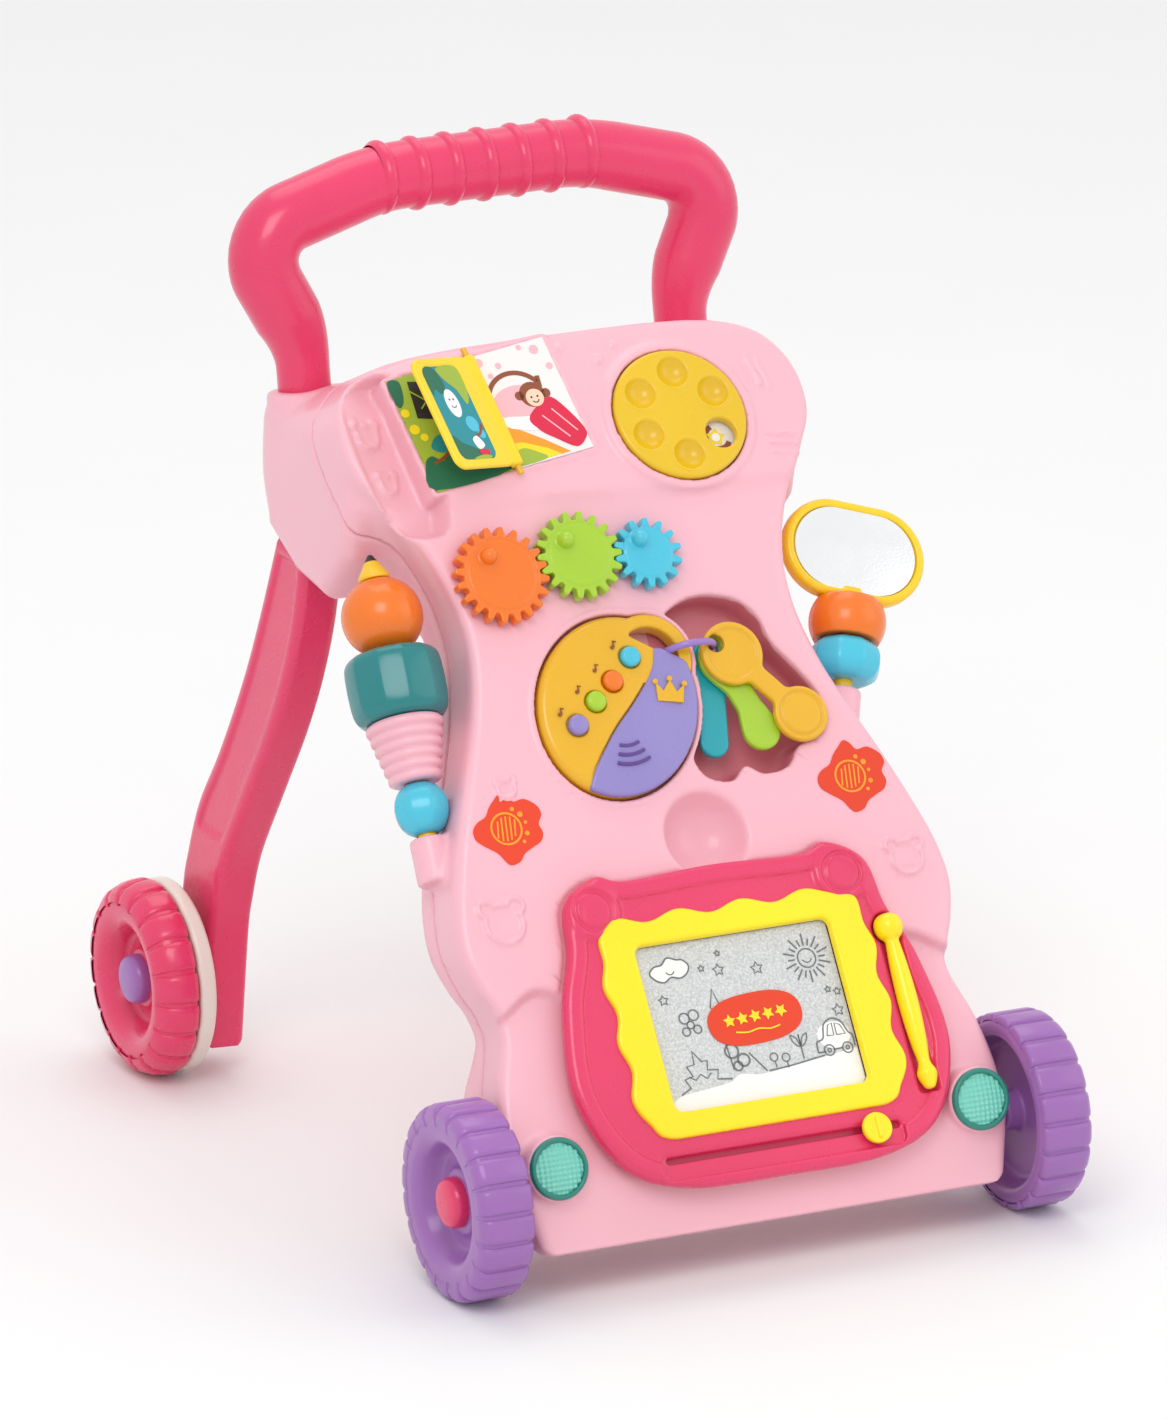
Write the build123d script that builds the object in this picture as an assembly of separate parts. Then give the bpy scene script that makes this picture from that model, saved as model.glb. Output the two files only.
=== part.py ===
from build123d import *
import os
from math import atan2, cos, degrees, pi, radians, sin, sqrt, tan

# Baby walker. Millimetres. +Z is up, the panel and the small wheels face -Y, the child walks behind
# the handle at +Y. The origin is on the floor, under the middle of the whole walker.

# ---- driving dimensions -------------------------------------------------------------------------
FRONT_WHEEL_R = 47.0
REAR_WHEEL_R = 48.4
WHEELBASE = 350.0
FRONT_WHEEL_W = 27.0
REAR_WHEEL_W = 29.0
FRONT_TRACK = 318.0          # over the outer faces of the front wheels
REAR_TRACK = 328.0           # over the outer faces of the rear wheels
BODY_W = 257.0               # widest place of the body, at the hips
WAIST_W = 170.0              # narrowest place of the body
CHEEK_W = 242.0              # widest place of the head
BUMPER_W = 259.0             # between the front wheels
PANEL_SLOPE = 55.7           # degrees from the floor
HEAD_SLOPE = 49.0
BUMPER_SLOPE = 71.0
PANEL_LENGTH = 322.0         # from the bumper's edge to the head's crease
HEAD_LENGTH = 88.0
BUMPER_LENGTH = 37.0
FLOOR_GAP = 21.0             # floor to the underside of the body
BODY_DEPTH = 52.0            # front to back of the middle of the body, level
HEAD_DEPTH = 74.0            # front to back of the head's top
SHOULDER_DROP = 61.0         # height of the head's back wall
WALL = 2.8
SHELL_SPLIT = 36.0           # depth of the front shell

HANDLE_R = 15.0              # tube of the handle
GRIP_R = 16.2
HANDLE_X = 100.0
HANDLE_RISE = 96.0           # head's top to the middle of the grip
HANDLE_SPREAD = 26.0         # how far the handle bows out past its feet
HANDLE_LEAN = 9.5
GRIP_RIBS = 7
RIB_PITCH = 17.7

AXLE_R = 3.0
LEG_T = 22.0
LEG_GAP = 2.0                # leg to rear wheel

BOARD_T = 11.0
SCREEN_W = 101.0
SCREEN_H = 81.0
BEZEL_W = 142.0
BEZEL_H = 110.0
BOARD_X = 4.5
BOARD_S = 105.0
BOARD_W = 195.0
BOARD_H = 155.0
PEN_R = 4.2
PEN_BALL_R = 7.0
PEN_LENGTH = 80.0
KNOB_R = 7.0

DISC_R = 33.5
DISC_T = 5.0
DISC_X, DISC_V = 51.0, 38.0
DIMPLE_R = 7.6
DIMPLE_PITCH_R = 21.5
BOOK_X, BOOK_V, BOOK_TURN = -44.0, 52.0, 8.0
PAGE_W, PAGE_H, PAGE_T = 43.0, 60.0, 3.0
LEAF_TILT = 25.0

GEAR_MODULE = 2.2
GEAR_TEETH = (20, 18, 14)
GEAR_T = 7.0
GEAR_START = (-63.0, 333.0)  # centre of the largest gear on the panel
GEAR_TURN = (6.0, -6.0)      # direction from each gear to the next, degrees
GEAR_BACKLASH = 0.45
PIN_R = 3.0

REMOTE_X, REMOTE_S, REMOTE_TURN = -20.0, 263.0, 60.0
REMOTE_L, REMOTE_W, REMOTE_T = 92.0, 80.0, 14.0
BUTTON_R = 5.0
TRAY_DEPTH = 20.0
KEY_T = 4.0

LAMP_R = 14.5
LAMP_X, LAMP_S = 110.0, 49.0
LABEL_X, LABEL_S, LABEL_R = 90.0, 213.0, 17.5

PENCIL_X, PENCIL_S, PENCIL_TILT, PENCIL_H = 7.0 - BODY_W / 2, 211.0, 3.0, -22.0
PENCIL_R = 4.4
MIRROR_X, MIRROR_S, MIRROR_TILT, MIRROR_H = BODY_W / 2 - 24.5, 252.0, -19.7, -20.0
MIRROR_W, MIRROR_HT, MIRROR_T = 70.0, 49.0, 9.0

RUN_CLEAR = 0.06             # radial clearance of a shaft in its bore
FIT_GAP = 0.5                # between a lift-out piece and its pocket
TOUCH_GAP = 0.3              # between pieces that turn side by side

# ---- derived places -----------------------------------------------------------------------------
FRONT_AXLE_Y = (FRONT_WHEEL_R - REAR_WHEEL_R - WHEELBASE) / 2
REAR_AXLE_Y = FRONT_AXLE_Y + WHEELBASE
CREASE = PANEL_LENGTH + BUMPER_LENGTH + 3.0


def slope_step(angle, length):
    """A step of the given length up a slope, as (y, z)."""
    return length * cos(radians(angle)), length * sin(radians(angle))


def add(point, step):
    return point[0] + step[0], point[1] + step[1]


BUMPER_FOOT = (FRONT_AXLE_Y - 37.3, FLOOR_GAP)
BUMPER_TOP = add(BUMPER_FOOT, slope_step(BUMPER_SLOPE, BUMPER_LENGTH))
PANEL_TOP = add(BUMPER_TOP, slope_step(PANEL_SLOPE, PANEL_LENGTH))
HEAD_TOP = add(PANEL_TOP, slope_step(HEAD_SLOPE, HEAD_LENGTH))
PANEL_ZERO = add(BUMPER_TOP, slope_step(PANEL_SLOPE, PANEL_LENGTH - CREASE))


def frame_at(origin, angle):
    """A frame on the front surface: x to the right, y up the slope, z out of the surface."""
    outward = (0, -sin(radians(angle)), cos(radians(angle)))
    return Plane(origin=(0, origin[0], origin[1]), x_dir=(1, 0, 0), z_dir=outward).location


PANEL = frame_at(PANEL_ZERO, PANEL_SLOPE)
HEAD = frame_at(PANEL_TOP, HEAD_SLOPE)


STAND = (Align.CENTER, Align.CENTER, Align.MIN)


def rod(radius, length, z=0.0):
    """A cylinder that starts at height z."""
    return Pos(0, 0, z) * Cylinder(radius, length, align=STAND)


def rod_x(radius, x_from, x_to, y, z):
    """A cylinder along X between two places."""
    return Pos(min(x_from, x_to), y, z) * Rot(0, 90, 0) * rod(radius, abs(x_to - x_from))


def plate(outline, thickness, z=0.0):
    """A flat piece of the given outline, from height z."""
    return extrude(Pos(0, 0, z) * outline, amount=thickness, dir=(0, 0, 1))


def turned(points):
    """A solid of revolution about local Z from (radius, height) points."""
    return revolve(Plane.XZ * make_face(Polyline(*points, close=True)), Axis.Z)


def mirrored(shape):
    return mirror(shape, about=Plane.YZ)


def group(*shapes):
    return Compound(children=list(shapes))


# ---- body shells --------------------------------------------------------------------------------
BACK_LEVEL = 238.0           # length up the panel where the shoulders' underside meets the back
BODY_SWEEP = 20.0            # degrees that the flanks fall towards the back


def front_line():
    return [BUMPER_FOOT, BUMPER_TOP, PANEL_TOP, HEAD_TOP]


def side_face(inset):
    """Side view of the body in the YZ plane, shrunk all round by the inset."""
    head_back = add(HEAD_TOP, slope_step(-25.0, HEAD_DEPTH / cos(radians(25.0))))
    shoulder_back = (head_back[0] - 8.0, head_back[1] - SHOULDER_DROP)
    under = add(PANEL_ZERO, slope_step(PANEL_SLOPE, BACK_LEVEL + 45.0))
    under_back = (under[0] + BODY_DEPTH, under[1])
    low = add(PANEL_ZERO, slope_step(PANEL_SLOPE, 95.0))
    low_back = (low[0] + BODY_DEPTH, low[1])
    foot_back = (FRONT_AXLE_Y + BODY_DEPTH, FLOOR_GAP)
    points = front_line() + [head_back, shoulder_back, under_back, low_back, foot_back]
    face = make_face(Polyline(*[(0, y, z) for y, z in points], close=True))
    return offset(face, -inset) if inset else face


def outline_face(inset):
    """Front view of the body on the panel: bumper, notch, hips, waist, cheeks, head corners."""
    hip, waist, cheek, bumper = [width / 2 - inset for width in (BODY_W, WAIST_W, CHEEK_W, BUMPER_W)]
    notch = bumper - 13.5
    low = Spline((bumper - 12, -80), (bumper - 6, 0), (bumper, 55), (notch, 118))
    flank = Spline(
        (notch, 118), (hip - 2, 142), (hip, 160), (hip - 15, 209), (waist + 6, 267), (waist, 302),
        (waist + 9, 345), (cheek - 3, 382), (cheek, 402), (cheek - 6, 424),
        tangents=[(0.75, 0.65), (-0.5, 0.86)],
    )
    corner = Spline(
        (cheek - 6, 424), (cheek - 30, 447 - inset), (0, 475 - inset),
        tangents=[(-0.5, 0.86), (-1, 0)],
    )
    right = [low, flank, corner]
    left = [mirrored(edge) for edge in right]
    foot = Line((bumper - 12, -80), (12 - bumper, -80))
    return make_face(right + left + [foot])


def shoulder_face(inset):
    """Side view of the deep housings at the shoulders that the legs run up into."""
    back = add(HEAD_TOP, slope_step(-25.0, HEAD_DEPTH / cos(radians(25.0))))
    points = [
        (HEAD_TOP[0] - 8, HEAD_TOP[1] - 26), (back[0] - 4, back[1] - 4),
        (back[0] - 8, back[1] - SHOULDER_DROP),
        (HEAD_TOP[0] + 33, back[1] - SHOULDER_DROP - 15), (HEAD_TOP[0], back[1] - SHOULDER_DROP - 19),
        (HEAD_TOP[0] - 26, back[1] - SHOULDER_DROP + 8), (HEAD_TOP[0] - 32, back[1] - 26),
    ]
    face = make_face(Polyline(*[(0, y, z) for y, z in points], close=True))
    return offset(face, -inset) if inset else face


def body_block(inset):
    side = extrude(side_face(inset), amount=BODY_W, dir=(1, 0, 0), both=True)
    sweep = (0, cos(radians(BODY_SWEEP)), -sin(radians(BODY_SWEEP)))
    front = extrude(PANEL * outline_face(inset), amount=400, dir=sweep, both=True)
    shoulders = extrude(shoulder_face(inset), amount=CHEEK_W / 2 - 2 - inset, dir=(1, 0, 0), both=True)
    return side & front + shoulders


def parting_band(depth):
    """Everything in front of a surface that lies the given depth behind the front line."""
    points = [(y + depth, z) for y, z in front_line()]
    points[0] = (points[0][0], points[0][1] - 60)
    points[-1] = add(points[-1], slope_step(HEAD_SLOPE, 60))
    points += [(points[-1][0] - 400, points[-1][1]), (points[0][0] - 400, points[0][1])]
    face = make_face(Polyline(*[(0, y, z) for y, z in points], close=True))
    return extrude(face, amount=BODY_W, dir=(1, 0, 0), both=True)


def board_outline(gap=0.0):
    """Rounded tablet with two ears, seen square on, centred on the board."""
    w, h = BOARD_W / 2 + gap, BOARD_H / 2 + gap
    right = [
        (0, -h), (w * 0.52, -h + 1.5), (w * 0.84, -h * 0.80), (w, -h * 0.34), (w * 0.95, h * 0.2),
        (w * 0.85, h * 0.55), (w * 0.80, h * 0.86), (w * 0.62, h), (w * 0.46, h * 0.95), (0, h * 0.97),
    ]
    left = [(-x, y) for x, y in right[-2:0:-1]]
    return make_face(Spline(*right, *left, periodic=True))


def screen_place():
    return PANEL * Pos(BOARD_X, BOARD_S, 0)


BOARD_SINK = 1.5
BOARD_TOP = BOARD_T - 3.0 - BOARD_SINK
SCREEN_TOP = BOARD_TOP - 3.0
PEN_X, PEN_Y = 80.0, -9.0     # middle of the pen on the board
SLOT_Y, SLOT_W, SLOT_L = -63.5, 4.0, 122.0
KNOB_X = 47.0


def board_frame():
    body = plate(board_outline(), BOARD_TOP + BOARD_SINK, -BOARD_SINK)
    body -= Pos(0, 0, SCREEN_TOP - 3) * Box(SCREEN_W + 1, SCREEN_H + 1, 20, align=STAND)
    body -= Pos(0, 0, BOARD_TOP - 1.5) * Box(BEZEL_W + 1, BEZEL_H + 1, 9, align=STAND)
    body -= Pos(0, SLOT_Y, BOARD_TOP - 3) * plate(SlotOverall(SLOT_L, SLOT_W), 20)
    groove = Rot(-90, 0, 0) * Cylinder(PEN_R + FIT_GAP, PEN_LENGTH + 2)
    cup = Sphere(PEN_BALL_R + FIT_GAP)
    body -= Pos(PEN_X, PEN_Y, BOARD_TOP + 1) * groove
    body -= Pos(PEN_X, PEN_Y + PEN_LENGTH / 2, BOARD_TOP + 1) * cup
    return screen_place() * body


def bezel_outline():
    """Frame with scalloped edges: a rectangle with round lobes along each side."""
    lobes = 7
    outline = Rectangle(BEZEL_W - 8, BEZEL_H - 8)
    for i in range(lobes):
        along = (i + 0.5) / lobes - 0.5
        for side in (-1, 1):
            outline += Pos(along * (BEZEL_W - 8), side * (BEZEL_H / 2 - 8)) * Circle(8)
            outline += Pos(side * (BEZEL_W / 2 - 8), along * (BEZEL_H - 8)) * Circle(8)
    return outline - Rectangle(SCREEN_W - 4, SCREEN_H - 4)


def board_bezel():
    return screen_place() * plate(bezel_outline(), 2.5, BOARD_TOP - 1.5)


def board_screen():
    body = plate(RectangleRounded(SCREEN_W, SCREEN_H, 3), 3, SCREEN_TOP - 3)
    return screen_place() * body


def eraser_knob():
    body = rod(KNOB_R, 3.5, BOARD_TOP + 0.3) + rod(SLOT_W / 2 - 0.4, 3.3, BOARD_TOP - 2.5)
    body += Pos(0, 0, BOARD_TOP + 4.3) * Box(2.4, 2 * KNOB_R - 3, 1.6)
    return screen_place() * Pos(KNOB_X, SLOT_Y, 0) * body


def pen():
    shaft = Rot(90, 0, 0) * Cylinder(PEN_R, PEN_LENGTH - 10)
    sections = ((PEN_LENGTH / 2 - 5, PEN_R), (PEN_LENGTH / 2, 1.5))
    tip = loft([Plane.XZ.offset(reach) * Circle(radius) for reach, radius in sections])
    ball = Pos(0, PEN_LENGTH / 2, 0) * Sphere(PEN_BALL_R)
    return screen_place() * Pos(PEN_X, PEN_Y, BOARD_TOP + 1) * (shaft + tip + ball)


# ---- key tray and remote ------------------------------------------------------------------------
KEY_HOLE = (37.0, 286.0)
KEY_HOLE_R = 4.2
RING_R, RING_WIRE = 13.0, 1.5
RING_PLACE = (24.0, 286.0, -2.0)
KEY_GAP = 0.5
REMOTE_SINK = 8.0


def circle_at(x, y, r):
    return Pos(x, y) * Circle(r)


def remote_outline(gap=0.0):
    return Pos(REMOTE_X, REMOTE_S) * Rot(0, 0, REMOTE_TURN) * Ellipse(REMOTE_L / 2 + gap, REMOTE_W / 2 + gap)


def tray_outline(grow=0.0):
    """Round top where the ring hangs, and a scalloped foot where the keys lie."""
    hollow = make_hull((circle_at(40, 286, 23 + grow) + circle_at(66, 251, 17 + grow)).edges())
    hollow += circle_at(51, 240, 17 + grow) + circle_at(27, 237, 14 + grow) + circle_at(40, 262, 24 + grow)
    return hollow + circle_at(18, RING_PLACE[1], 11 + grow)


def key_blank(head, head_r, end, end_r, shaft_w):
    """A flat toy key: round head, shaft and round end, with the hole for the ring."""
    dx, dy = end[0] - head[0], end[1] - head[1]
    shaft = Pos((head[0] + end[0]) / 2, (head[1] + end[1]) / 2) * Rot(0, 0, degrees(atan2(dy, dx)))
    outline = circle_at(*head, head_r) + circle_at(*end, end_r)
    outline += shaft * Rectangle(sqrt(dx**2 + dy**2), shaft_w)
    return outline - circle_at(*KEY_HOLE, KEY_HOLE_R)


def key_piece(order, *shape):
    """A key in its layer of the stack, the top one first."""
    top = RING_PLACE[2] + 1.5 * KEY_T + KEY_GAP - order * (KEY_T + KEY_GAP)
    return PANEL * plate(key_blank(*shape), KEY_T, top - KEY_T)


def yellow_key():
    return key_piece(0, (44, 280), 15.5, (71, 246), 13.5, 9)


def green_key():
    return key_piece(1, (41, 279), 13, (51, 241), 10, 11)


def teal_key():
    return key_piece(2, (37, 279), 12, (27, 239), 8, 10)


def key_ring():
    return PANEL * Pos(*RING_PLACE) * Rot(90, 0, 0) * Torus(RING_R, RING_WIRE)


BUTTONS = ((-9, 285), (-21, 274.5), (-32, 266), (-44, 256))
BUTTON_COLOURS = ("blue", "orange", "green", "purple")
BUTTON_PRESS = 1.0
LOOP_X = 12.0                 # middle of the hole that the ring goes through
COVER_T = 2.5


def remote_base():
    body = plate(remote_outline(), REMOTE_T, -REMOTE_SINK)
    thin = Pos(KEY_HOLE[0] - 16, KEY_HOLE[1], 0)
    for z in (3.5 + RING_PLACE[2], -21.5 + RING_PLACE[2]):
        body -= thin * Pos(0, 0, z) * Box(24, 30, 18, align=STAND)
    body -= Pos(LOOP_X, RING_PLACE[1], -20) * rod(5.5, 40)
    top = REMOTE_T - REMOTE_SINK
    for x, s in BUTTONS:
        body -= Pos(x, s, top - 3) * rod(BUTTON_R + FIT_GAP, 9)
    body -= plate(remote_cover_outline(FIT_GAP / 2), COVER_T, top - COVER_T)
    return PANEL * body


def remote_cover_outline(gap=0.0):
    """The right half of the remote's face, parted from the left by an S curve."""
    parting = [(2 - gap, 283 + gap), (-16 - gap, 262 + gap), (-27 - gap, 245 + gap), (-38 - gap, 215 + gap)]
    side = make_face([Spline(*parting), Polyline(parting[-1], (40, 215), (40, 272 + gap), parting[0])])
    return remote_outline(gap - 1.5) & side


def remote_cover():
    top = REMOTE_T - REMOTE_SINK
    return PANEL * plate(remote_cover_outline(), COVER_T + 1.5, top - COVER_T)


def remote_button(index):
    x, s = BUTTONS[index]
    top = REMOTE_T - REMOTE_SINK
    body = rod(BUTTON_R, 2.6, top - 1.2)
    return PANEL * Pos(x, s, 0) * body


# ---- head toys ----------------------------------------------------------------------------------
DISC_RING_W = 4.0
DISC_LIFT = 1.5
WINDOW_ANGLE = -36.0          # where the disc's round window stands at rest


def disc_place():
    return HEAD * Pos(DISC_X, DISC_V, 0)


def disc_ring():
    ring = Circle(DISC_R + DISC_RING_W) - Circle(DISC_R + 0.6)
    return disc_place() * plate(ring, DISC_T + 2, -2)


def disc():
    body = rod(DISC_R, DISC_T, DISC_LIFT) - rod(PIN_R + RUN_CLEAR, 20, -5)
    for step in range(1, 6):
        angle = radians(WINDOW_ANGLE + 60 * step)
        x, y = DIMPLE_PITCH_R * cos(angle), DIMPLE_PITCH_R * sin(angle)
        body -= Pos(x, y, DISC_LIFT + DISC_T + 4) * Sphere(DIMPLE_R)
    window = radians(WINDOW_ANGLE)
    body -= Pos(DIMPLE_PITCH_R * cos(window), DIMPLE_PITCH_R * sin(window), -5) * rod(DIMPLE_R, 20)
    return disc_place() * body


def disc_picture():
    return disc_place() * (rod(DISC_R, 0.8, 0.1) - rod(PIN_R + 0.5, 9, -3))


def book_place():
    return HEAD * Pos(BOOK_X, BOOK_V, 0) * Rot(0, 0, BOOK_TURN)


BOOK_RIM = 2.0
BOOK_BLOCK = 4.0
LEAF_PIN_R = 1.5
LEAF_PIN_H = BOOK_BLOCK + 3.2
LEAF_T = 2.4


def book_block():
    width = 2 * (PAGE_W + BOOK_RIM) + 1.0
    block = Pos(0, 0, -2) * Box(width, PAGE_H + 2 * BOOK_RIM, BOOK_BLOCK + 2, align=STAND)
    block = chamfer(block.edges().group_by(Axis.Z)[-1], 1.2)
    seat = Pos(0, 0, BOOK_BLOCK - 1.0) * Box(2 * PAGE_W + 1.2, PAGE_H + 0.4, 9, align=STAND)
    return book_place() * (block - seat)


def book_page(side):
    page = Box(PAGE_W - 1.0, PAGE_H, 1.0, align=STAND)
    return book_place() * Pos(side * (PAGE_W + 1) / 2, 0, BOOK_BLOCK - 1.0) * page


def book_pin():
    return book_place() * Pos(0, 0, LEAF_PIN_H) * Rot(90, 0, 0) * Cylinder(LEAF_PIN_R, PAGE_H + 8)


def book_leaf():
    barrel = Rot(90, 0, 0) * Cylinder(LEAF_PIN_R + 1.5, PAGE_H - 1)
    leaf = Pos(-PAGE_W / 2 - 0.5, 0, 0) * Box(PAGE_W - 1, PAGE_H - 1, LEAF_T)
    leaf = fillet(leaf.edges().filter_by(Axis.Z).group_by(Axis.X)[0], 5)
    bore = Rot(90, 0, 0) * Cylinder(LEAF_PIN_R + RUN_CLEAR, PAGE_H + 9)
    return book_place() * Pos(0, 0, LEAF_PIN_H) * Rot(0, LEAF_TILT, 0) * (leaf + barrel - bore)


# ---- gears --------------------------------------------------------------------------------------
PRESSURE = radians(20.0)
GEAR_LIFT = 0.6


def gear_r(index):
    return GEAR_MODULE * GEAR_TEETH[index] / 2


def gear_centres():
    centres = [GEAR_START]
    for i, turn in enumerate(GEAR_TURN):
        reach = gear_r(i) + gear_r(i + 1)
        x, y = centres[-1]
        centres.append((x + reach * cos(radians(turn)), y + reach * sin(radians(turn))))
    return centres


def gear_phases():
    """Angle of one tooth of each gear, so that neighbours are in mesh."""
    phases = [GEAR_TURN[0]]
    for i, turn in enumerate(GEAR_TURN):
        lead = phases[-1] - turn
        teeth, following = GEAR_TEETH[i], GEAR_TEETH[i + 1]
        phases.append((turn + 180 + 180 / following - lead * teeth / following) % (360 / following))
    return phases


def involute(angle):
    return tan(angle) - angle


def gear_outline(teeth):
    pitch = GEAR_MODULE * teeth / 2
    base = pitch * cos(PRESSURE)
    root, tip = pitch - 1.2 * GEAR_MODULE, pitch + 0.9 * GEAR_MODULE
    half_pitch = pi / (2 * teeth) - GEAR_BACKLASH / (2 * pitch)

    def half_angle(radius):
        local = 0.0 if radius <= base else involute_angle(base, radius)
        return half_pitch + involute(PRESSURE) - involute(local)

    radii = (root, max(base, root), pitch, (pitch + tip) / 2, tip)
    points = []
    for tooth in range(teeth):
        middle = 2 * pi * tooth / teeth
        flank = [(r, middle - half_angle(r)) for r in radii]
        flank += [(r, middle + half_angle(r)) for r in radii[::-1]]
        points += [(r * cos(a), r * sin(a)) for r, a in dict.fromkeys(flank)]
    return make_face(Polyline(*points, close=True))


def involute_angle(base, radius):
    return atan2(sqrt(radius**2 - base**2), base)


def gear(index):
    pitch = gear_r(index)
    body = plate(gear_outline(GEAR_TEETH[index]), GEAR_T, 0)
    body += Pos(-pitch * 0.2, pitch * 0.45, GEAR_T) * (rod(3.6, 3) + Pos(0, 0, 3) * Sphere(3.6))
    body -= rod(PIN_R + RUN_CLEAR, GEAR_T - 2, 0)
    (x, s), phase = gear_centres()[index], gear_phases()[index]
    return PANEL * Pos(x, s, GEAR_LIFT) * Rot(0, 0, phase) * body


def toy_pins():
    """Pins moulded on the shell's inner seats: three for the gears and one for the disc."""
    pin = rod(PIN_R, GEAR_T - 3 + GEAR_LIFT + WALL, -WALL)
    pins = [PANEL * Pos(x, s, 0) * pin for x, s in gear_centres()]
    pins.append(disc_place() * rod(PIN_R, DISC_T + DISC_LIFT + WALL - 0.6, -WALL))
    return group(*pins)


# ---- lamps and labels ---------------------------------------------------------------------------
LAMP_POD = 3.0


def lamp_place(side):
    y, z = add(PANEL_ZERO, slope_step(PANEL_SLOPE, LAMP_S))
    return Pos(side * LAMP_X, 0, 0) * frame_at((y, z), BUMPER_SLOPE)


def lamp_pods_solid():
    left, right = [lamp_place(side) * rod(LAMP_R + 1.5, LAMP_POD + 6, -6) for side in (-1, 1)]
    return left + right


def lamp_rims():
    ring = Circle(LAMP_R) - Circle(LAMP_R - 2.2)
    return group(*[lamp_place(side) * plate(ring, 2.4, LAMP_POD) for side in (-1, 1)])


def lamp_lenses():
    height = 3.0
    base = LAMP_R - 2.4
    cap_r = (base**2 + height**2) / (2 * height)
    dome = Sphere(cap_r) & rod(base, 2 * cap_r, cap_r - height)
    lens = Pos(0, 0, LAMP_POD + height - cap_r) * dome
    return group(*[lamp_place(side) * lens for side in (-1, 1)])


def labels():
    def label(side):
        points = []
        for i in range(10):
            a, reach = radians(36 * i + 12), (LABEL_R if i % 2 else LABEL_R * 0.84)
            points.append((reach * cos(a), reach * sin(a)))
        outline = make_face(Spline(*points, periodic=True))
        return PANEL * Pos(side * LABEL_X, LABEL_S, 0) * plate(outline, 0.5)
    return group(label(-1), label(1))


# ---- pencil and mirror --------------------------------------------------------------------------
def pencil_place():
    return PANEL * Pos(PENCIL_X, PENCIL_S, PENCIL_H) * Rot(-90, 0, 0) * Rot(0, PENCIL_TILT, 0)


def mirror_place():
    return PANEL * Pos(MIRROR_X, MIRROR_S, MIRROR_H) * Rot(-90, 0, 0) * Rot(0, -MIRROR_TILT, 0)


BEAD_T, CONE_T, BARREL_T, BALL_T = 25.0, 30.0, 34.0, 35.0
BEAD_R = 13.2
SOCKET_R = 9.0
BEAD_START = 10.5
CONE_START = BEAD_START + BEAD_T + TOUCH_GAP
BARREL_START = CONE_START + CONE_T + TOUCH_GAP
BALL_START = BARREL_START + BARREL_T + TOUCH_GAP
TIP_START = BALL_START + BALL_T + TOUCH_GAP


def bore(radius, solid):
    return solid - rod(radius + RUN_CLEAR, 400, -100)


def flat_ball(radius, thickness):
    """A ball with flat ends, standing on z = 0."""
    slab = Pos(0, 0, thickness / 2) * Box(3 * radius, 3 * radius, thickness)
    return (Pos(0, 0, thickness / 2) * Sphere(radius)) & slab


def pencil_bead():
    return pencil_place() * Pos(0, 0, BEAD_START) * bore(PENCIL_R, flat_ball(BEAD_R, BEAD_T))


def pencil_cone():
    ribs = 6
    step = CONE_T / ribs
    points = [(0, 0)]
    for i in range(ribs):
        r = 12.0 + 7.0 * (i + 0.5) / ribs
        points += [(r - 1.2, i * step), (r, (i + 0.35) * step), (r, (i + 0.75) * step)]
    points += [(18.0, CONE_T), (0, CONE_T)]
    return pencil_place() * Pos(0, 0, CONE_START) * bore(PENCIL_R, turned(points))


def pencil_barrel():
    points = [
        (0, 0), (18, 0), (22, 3), (23.3, 10),
        (23.3, BARREL_T - 10), (22, BARREL_T - 3), (18, BARREL_T), (0, BARREL_T),
    ]
    return pencil_place() * Pos(0, 0, BARREL_START) * bore(PENCIL_R, turned(points))


def pencil_ball():
    return pencil_place() * Pos(0, 0, BALL_START) * bore(PENCIL_R, flat_ball(19.0, BALL_T))


def pencil_rod():
    return pencil_place() * rod(PENCIL_R, TIP_START - TOUCH_GAP, 0.5)


def pencil_tip():
    points = [(0, 0), (7.5, 0), (7.5, 2), (2.0, 9), (1.0, 12.5), (0, 12.5)]
    return pencil_place() * Pos(0, 0, TIP_START + 0.3) * turned(points)


def socket(place, radius):
    edge = [(radius - 3, -12), (radius, -4), (radius, 7), (radius - 1.5, 8.5)]
    cup = place * turned([(0, -12), *edge, (0, 8.5)])
    return cup - place * rod(radius - 3.0, 30, 0.4)


DISC_BEAD_T, MIRROR_BALL_T = 20.0, 20.0
DISC_BEAD_START = 13.0
MIRROR_BALL_START = DISC_BEAD_START + DISC_BEAD_T + TOUCH_GAP
MIRROR_START = MIRROR_BALL_START + MIRROR_BALL_T + 0.6
MIRROR_RIM = 4.0
SPIGOT_R, SPIGOT_L = 1.8, 12.0


def mirror_disc_bead():
    corner, edge = DISC_BEAD_T * 0.3, DISC_BEAD_T * 0.7
    body = turned([(0, 0), (13, 0), (17.6, corner), (17.6, edge), (13, DISC_BEAD_T), (0, DISC_BEAD_T)])
    return mirror_place() * Pos(0, 0, DISC_BEAD_START) * bore(PENCIL_R, body)


def mirror_ball():
    return mirror_place() * Pos(0, 0, MIRROR_BALL_START) * bore(PENCIL_R, flat_ball(18.5, MIRROR_BALL_T))


def mirror_post():
    spigot = rod(SPIGOT_R, SPIGOT_L, MIRROR_START - TOUCH_GAP)
    return mirror_place() * (rod(PENCIL_R, MIRROR_START - TOUCH_GAP - 0.5, 0.5) + spigot)


def mirror_centre():
    return mirror_place() * Pos(0, 0, MIRROR_START + MIRROR_HT / 2) * Rot(90, 0, 0)


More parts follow.
